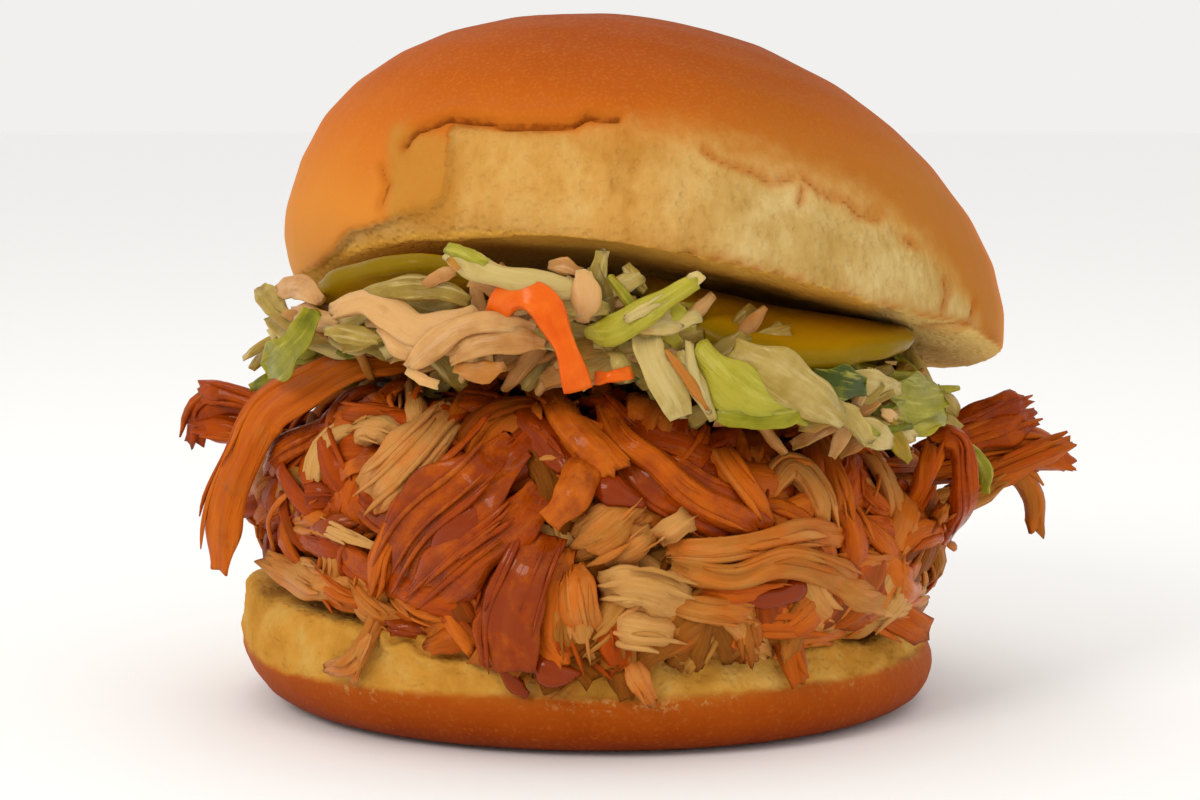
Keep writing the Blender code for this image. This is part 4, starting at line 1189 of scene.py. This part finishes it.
TO_VIEWER = (0, -1, 0.25)  # the way that the face of a leaf points at the front
# How high the small shreds reach at the front, below the pickles: x and height in mm.
LITTER_TOP = (-50, -38, -22, 0, 12, 17, 28, 52), (63, 64.5, 66, 67, 66, 61, 56, 53)


def slaw():
    """Shredded cabbage, pale, green and pink, strewn over a smaller core."""
    heap = Heap("cabbage_slaw", (0.002, 0.0, 0.0500), shrink=0.0032, worn=3, flat=0.35)
    # the heart is darker than the shreds, painted shade for the gaps between them
    make_piece(
        "slaw_heart", heap.places, heap.faces,
        depth_finish("slaw_depth_painted_shade", (0.14, 0.080, 0.012), (0.36, 0.24, 0.060)), "cabbage", ["cabbage_slaw"],
    )
    finishes = {
        "pale": cabbage_finish(
            "cabbage_pale",
            deep=(0.20, 0.115, 0.012), middle=(0.34, 0.225, 0.040),
            light=(0.52, 0.385, 0.135), vein=(0.56, 0.43, 0.18),
        ),
        "green": cabbage_finish(
            "cabbage_green",
            deep=(0.032, 0.058, 0.001), middle=(0.21, 0.195, 0.003),
            light=(0.38, 0.33, 0.028), vein=(0.47, 0.41, 0.07),
        ),
        "pink": cabbage_finish(
            "cabbage_pink",
            deep=(0.26, 0.095, 0.015), middle=(0.42, 0.185, 0.050),
            light=(0.62, 0.34, 0.125), vein=(0.60, 0.34, 0.17),
        ),
    }
    piles = {kind: Pile() for kind in finishes}
    for kind, route, width_mm, thick_mm, tone, curl, ruffle_mm, sauce in SLAW_PLACED:
        piles[kind].lay(np.array(route) * MM, width_mm * MM, thick_mm * MM, TO_VIEWER, sauce, tone, sides=22,
                        fray=0.5, curl=curl, ruffle=ruffle_mm * MM, groove=0.28, grain=1.0, blunt=0.6,
                        spacing=0.0008)
    for _ in range(700):
        start, normal = random_spot(heap, 0.030, 0.075)
        if abs(normal[2]) > 0.92:
            continue
        heading = sideways(normal, -0.05, 0.45)
        kind = chance.choice(("pale", "green", "pink"), p=(0.45, 0.25, 0.30))
        lift = chance.uniform(0.4, 3.0)
        points, facing = heap.route_over(
            start, heading, chance.uniform(0.008, 0.020), (lift - 1.0, lift), chance.normal(0, 0.25),
            step=0.003,
        )
        if any(abs(place[0]) > 0.0505 for place in points):
            continue
        piles[kind].lay(points, chance.uniform(1.6, 4.8) * MM, chance.uniform(0.7, 1.5) * MM, facing,
                        sauce=0.30 + 0.3 * float(lumps(points[0], 0.010, 4)), tone=chance.uniform(0.2, 1.0),
                        sides=10, fray=0.2, curl=chance.normal(0, 0.12), ruffle=chance.uniform(0, 0.35) * MM,
                        blunt=0.7)
    front = solid_tree("cabbage_slaw")
    for _ in range(380):
        x_mm, z_mm = chance.uniform(-50, 52), chance.uniform(44, 70)
        spot, _, _, _ = front.ray_cast(Vector((x_mm * MM, -0.2, z_mm * MM)), Vector((0, 1, 0)))
        if spot is None or spot.y > -0.012 or z_mm > np.interp(x_mm, *LITTER_TOP):
            continue
        back = spot.y + chance.uniform(1.4, 4.6) * MM
        heading, half = chance.normal(0.1, 0.55), chance.uniform(3.0, 7.5)
        bow = chance.normal(0, 0.9)
        route = [
            (x_mm + half * t * math.cos(heading), back / MM + 0.5 * t * t * half * abs(x_mm) / 50,
             z_mm + half * t * math.sin(heading) + bow * t * t)
            for t in (-1, -0.4, 0.3, 1)
        ]
        shares = (0.36, 0.10, 0.54) if x_mm < 0 else (0.58, 0.32, 0.10)
        kind = chance.choice(("pale", "green", "pink"), p=shares)
        piles[kind].lay(np.array(route) * MM, chance.uniform(1.4, 3.4) * MM, chance.uniform(0.6, 1.3) * MM,
                        TO_VIEWER, sauce=chance.uniform(0.0, 0.6), tone=chance.uniform(0.2, 1.0), sides=12,
                        fray=0.4, curl=chance.normal(0, 0.12), ruffle=chance.uniform(0, 0.3) * MM, groove=0.2,
                        grain=0.9, blunt=0.6, spacing=0.0011)
    for kind, pile in piles.items():
        pile.make(f"slaw_{kind}", finishes[kind], "cabbage")


def carrot():
    """One bent strip of carrot, and a small shard beside it."""
    pile = Pile()
    strips = [
        ([(-14, -54, 62.0), (-11.9, -56, 65.0), (-9.3, -57.4, 65.6), (-7.0, -58.2, 64.2), (-5.6, -58.6, 61.6),
          (-3.8, -58.8, 57.6), (-2.4, -58.4, 52.6)], 4.0, 2.0),
        ([(-0.3, -55, 53.9), (2, -55.8, 54.2), (4.9, -55.4, 54.8)], 1.8, 1.2),
    ]
    for route, width_mm, thick_mm in strips:
        pile.lay(np.array(route) * MM, width_mm * MM, thick_mm * MM, (0, -1, 0.35), 0, 0.5, sides=20,
                 fray=0.15, curl=-0.04, ridges=0.03, blunt=0.9, boxy=0.45, spacing=0.0006)
    pile.make("carrot_strip_fresh", carrot_finish(), "carrot", ["carrot_strip"])


# The section of a slice from near its middle out to its rim, lower half: share of the radius, and level.
SLICE_EDGE = [
    (0.12, -1), (0.3, -1), (0.5, -1), (0.7, -1), (0.84, -0.98), (0.94, -0.92), (0.985, -0.62), (1.0, -0.2),
]
HALF_SLICE_MM = 1.65


def pickles():
    """Two slices of pickle, soft and a little bent, on the places of their solids."""
    finish = pickle_finish()
    for node, sag_mm, droop_mm in (("pickle_left", -1.2, 0.0), ("pickle_right", 0.6, 6.5)):
        solid = np.array([v.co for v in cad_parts[node].data.vertices])
        centre = (solid.min(0) + solid.max(0)) / 2
        axes = np.linalg.svd(solid - solid.mean(0), full_matrices=False)[2]
        flat_way = axes[2] * np.sign(axes[2][2])
        side_way = unit(np.cross((0, 1, 0), flat_way))
        deep_way = np.cross(flat_way, side_way)
        radius = np.percentile(np.hypot((solid - centre) @ side_way, (solid - centre) @ deep_way), 90)
        turn = np.linspace(0, math.tau, 120, endpoint=False)
        profile = np.array(SLICE_EDGE + [(share, -level) for share, level in reversed(SLICE_EDGE)])
        share, level = (part[:, None] * np.ones(len(turn)) for part in profile.T)
        warts = 1 + 0.012 * np.sin(9 * turn) + 0.008 * np.sin(17 * turn + 1)
        across = share * np.cos(turn) * radius * warts
        deep = share * np.sin(turn) * radius * warts
        up = level * HALF_SLICE_MM * MM * (1 - 0.12 * ease(0.5, 0.0, share))
        flat = np.stack([across, deep, up], -1)
        up = up + 0.16 * MM * rough_lumps(flat, 0.004, 3) * np.sign(level)
        up = up + sag_mm * MM * (across / radius) ** 2
        front = np.clip(-deep / radius * np.sign(deep_way[1]), 0, 1)
        up = up - droop_mm * MM * (front**2 - 0.30)  # the middle rises a little as the front droops
        grid = centre + across[..., None] * side_way + deep[..., None] * deep_way + up[..., None] * flat_way
        make_skin(f"{node}_slice", grid, finish, "pickle", [node], reach=share)


# ---------------------------------------------------------------- room, light and camera


def turned_to(place, aim):
    """The turn of a lamp or camera at a place that looks at its aim."""
    return (Vector(aim) - Vector(place)).to_track_quat("-Z", "Y").to_euler()


# Where the camera stands and what it looks at, in metres.
EYE = (0.0005, -0.470, 0.096)
AIM = (0.0005, 0.0, 0.045)


def stage():
    """A pale floor, soft studio light and the camera."""
    mesh = bpy.data.meshes.new("floor")
    far = 4.0
    mesh.from_pydata([(-far, -far, 0), (far, -far, 0), (far, far, 0), (-far, far, 0)], [], [(0, 1, 2, 3)])
    floor = bpy.data.objects.new("floor", mesh)
    bpy.context.scene.collection.objects.link(floor)
    floor.location.z = -0.0002
    paper = Finish("pale_floor")
    paper.wear(Base_Color=(0.97, 0.97, 0.97), Roughness=0.8, Specular_IOR_Level=0.1)
    mesh.materials.append(paper.material)

    world = bpy.data.worlds.new("studio")
    bpy.context.scene.world = world
    world.use_nodes = True
    world.node_tree.nodes["Background"].inputs["Color"].default_value = (1.0, 0.99, 0.97, 1.0)
    world.node_tree.nodes["Background"].inputs["Strength"].default_value = 0.88
    for name, place, size, power in (
        ("key light", (-0.50, -0.70, 0.60), 0.35, 3.2),
        ("fill light", (0.70, -0.60, 0.35), 0.60, 0.6),
        ("top light", (0.0, 0.10, 0.95), 0.60, 0.8),
    ):
        lamp = bpy.data.lights.new(name, "AREA")
        lamp.size = size
        lamp.energy = power
        lamp.color = (1.0, 0.96, 0.90)
        light = bpy.data.objects.new(name, lamp)
        light.location = place
        light.rotation_euler = turned_to(place, (0, 0, 0.05))
        bpy.context.scene.collection.objects.link(light)

    lens = bpy.data.cameras.new("camera")
    lens.sensor_width = 36.0
    lens.lens = 92.25
    lens.clip_start = 0.01
    camera = bpy.data.objects.new("camera", lens)
    camera.location = EYE
    camera.rotation_euler = turned_to(EYE, AIM)
    bpy.context.scene.collection.objects.link(camera)
    bpy.context.scene.camera = camera
    bpy.context.scene.view_settings.view_transform = "Standard"


heel()
pork()
slaw()
carrot()
pickles()
crown()
stage()
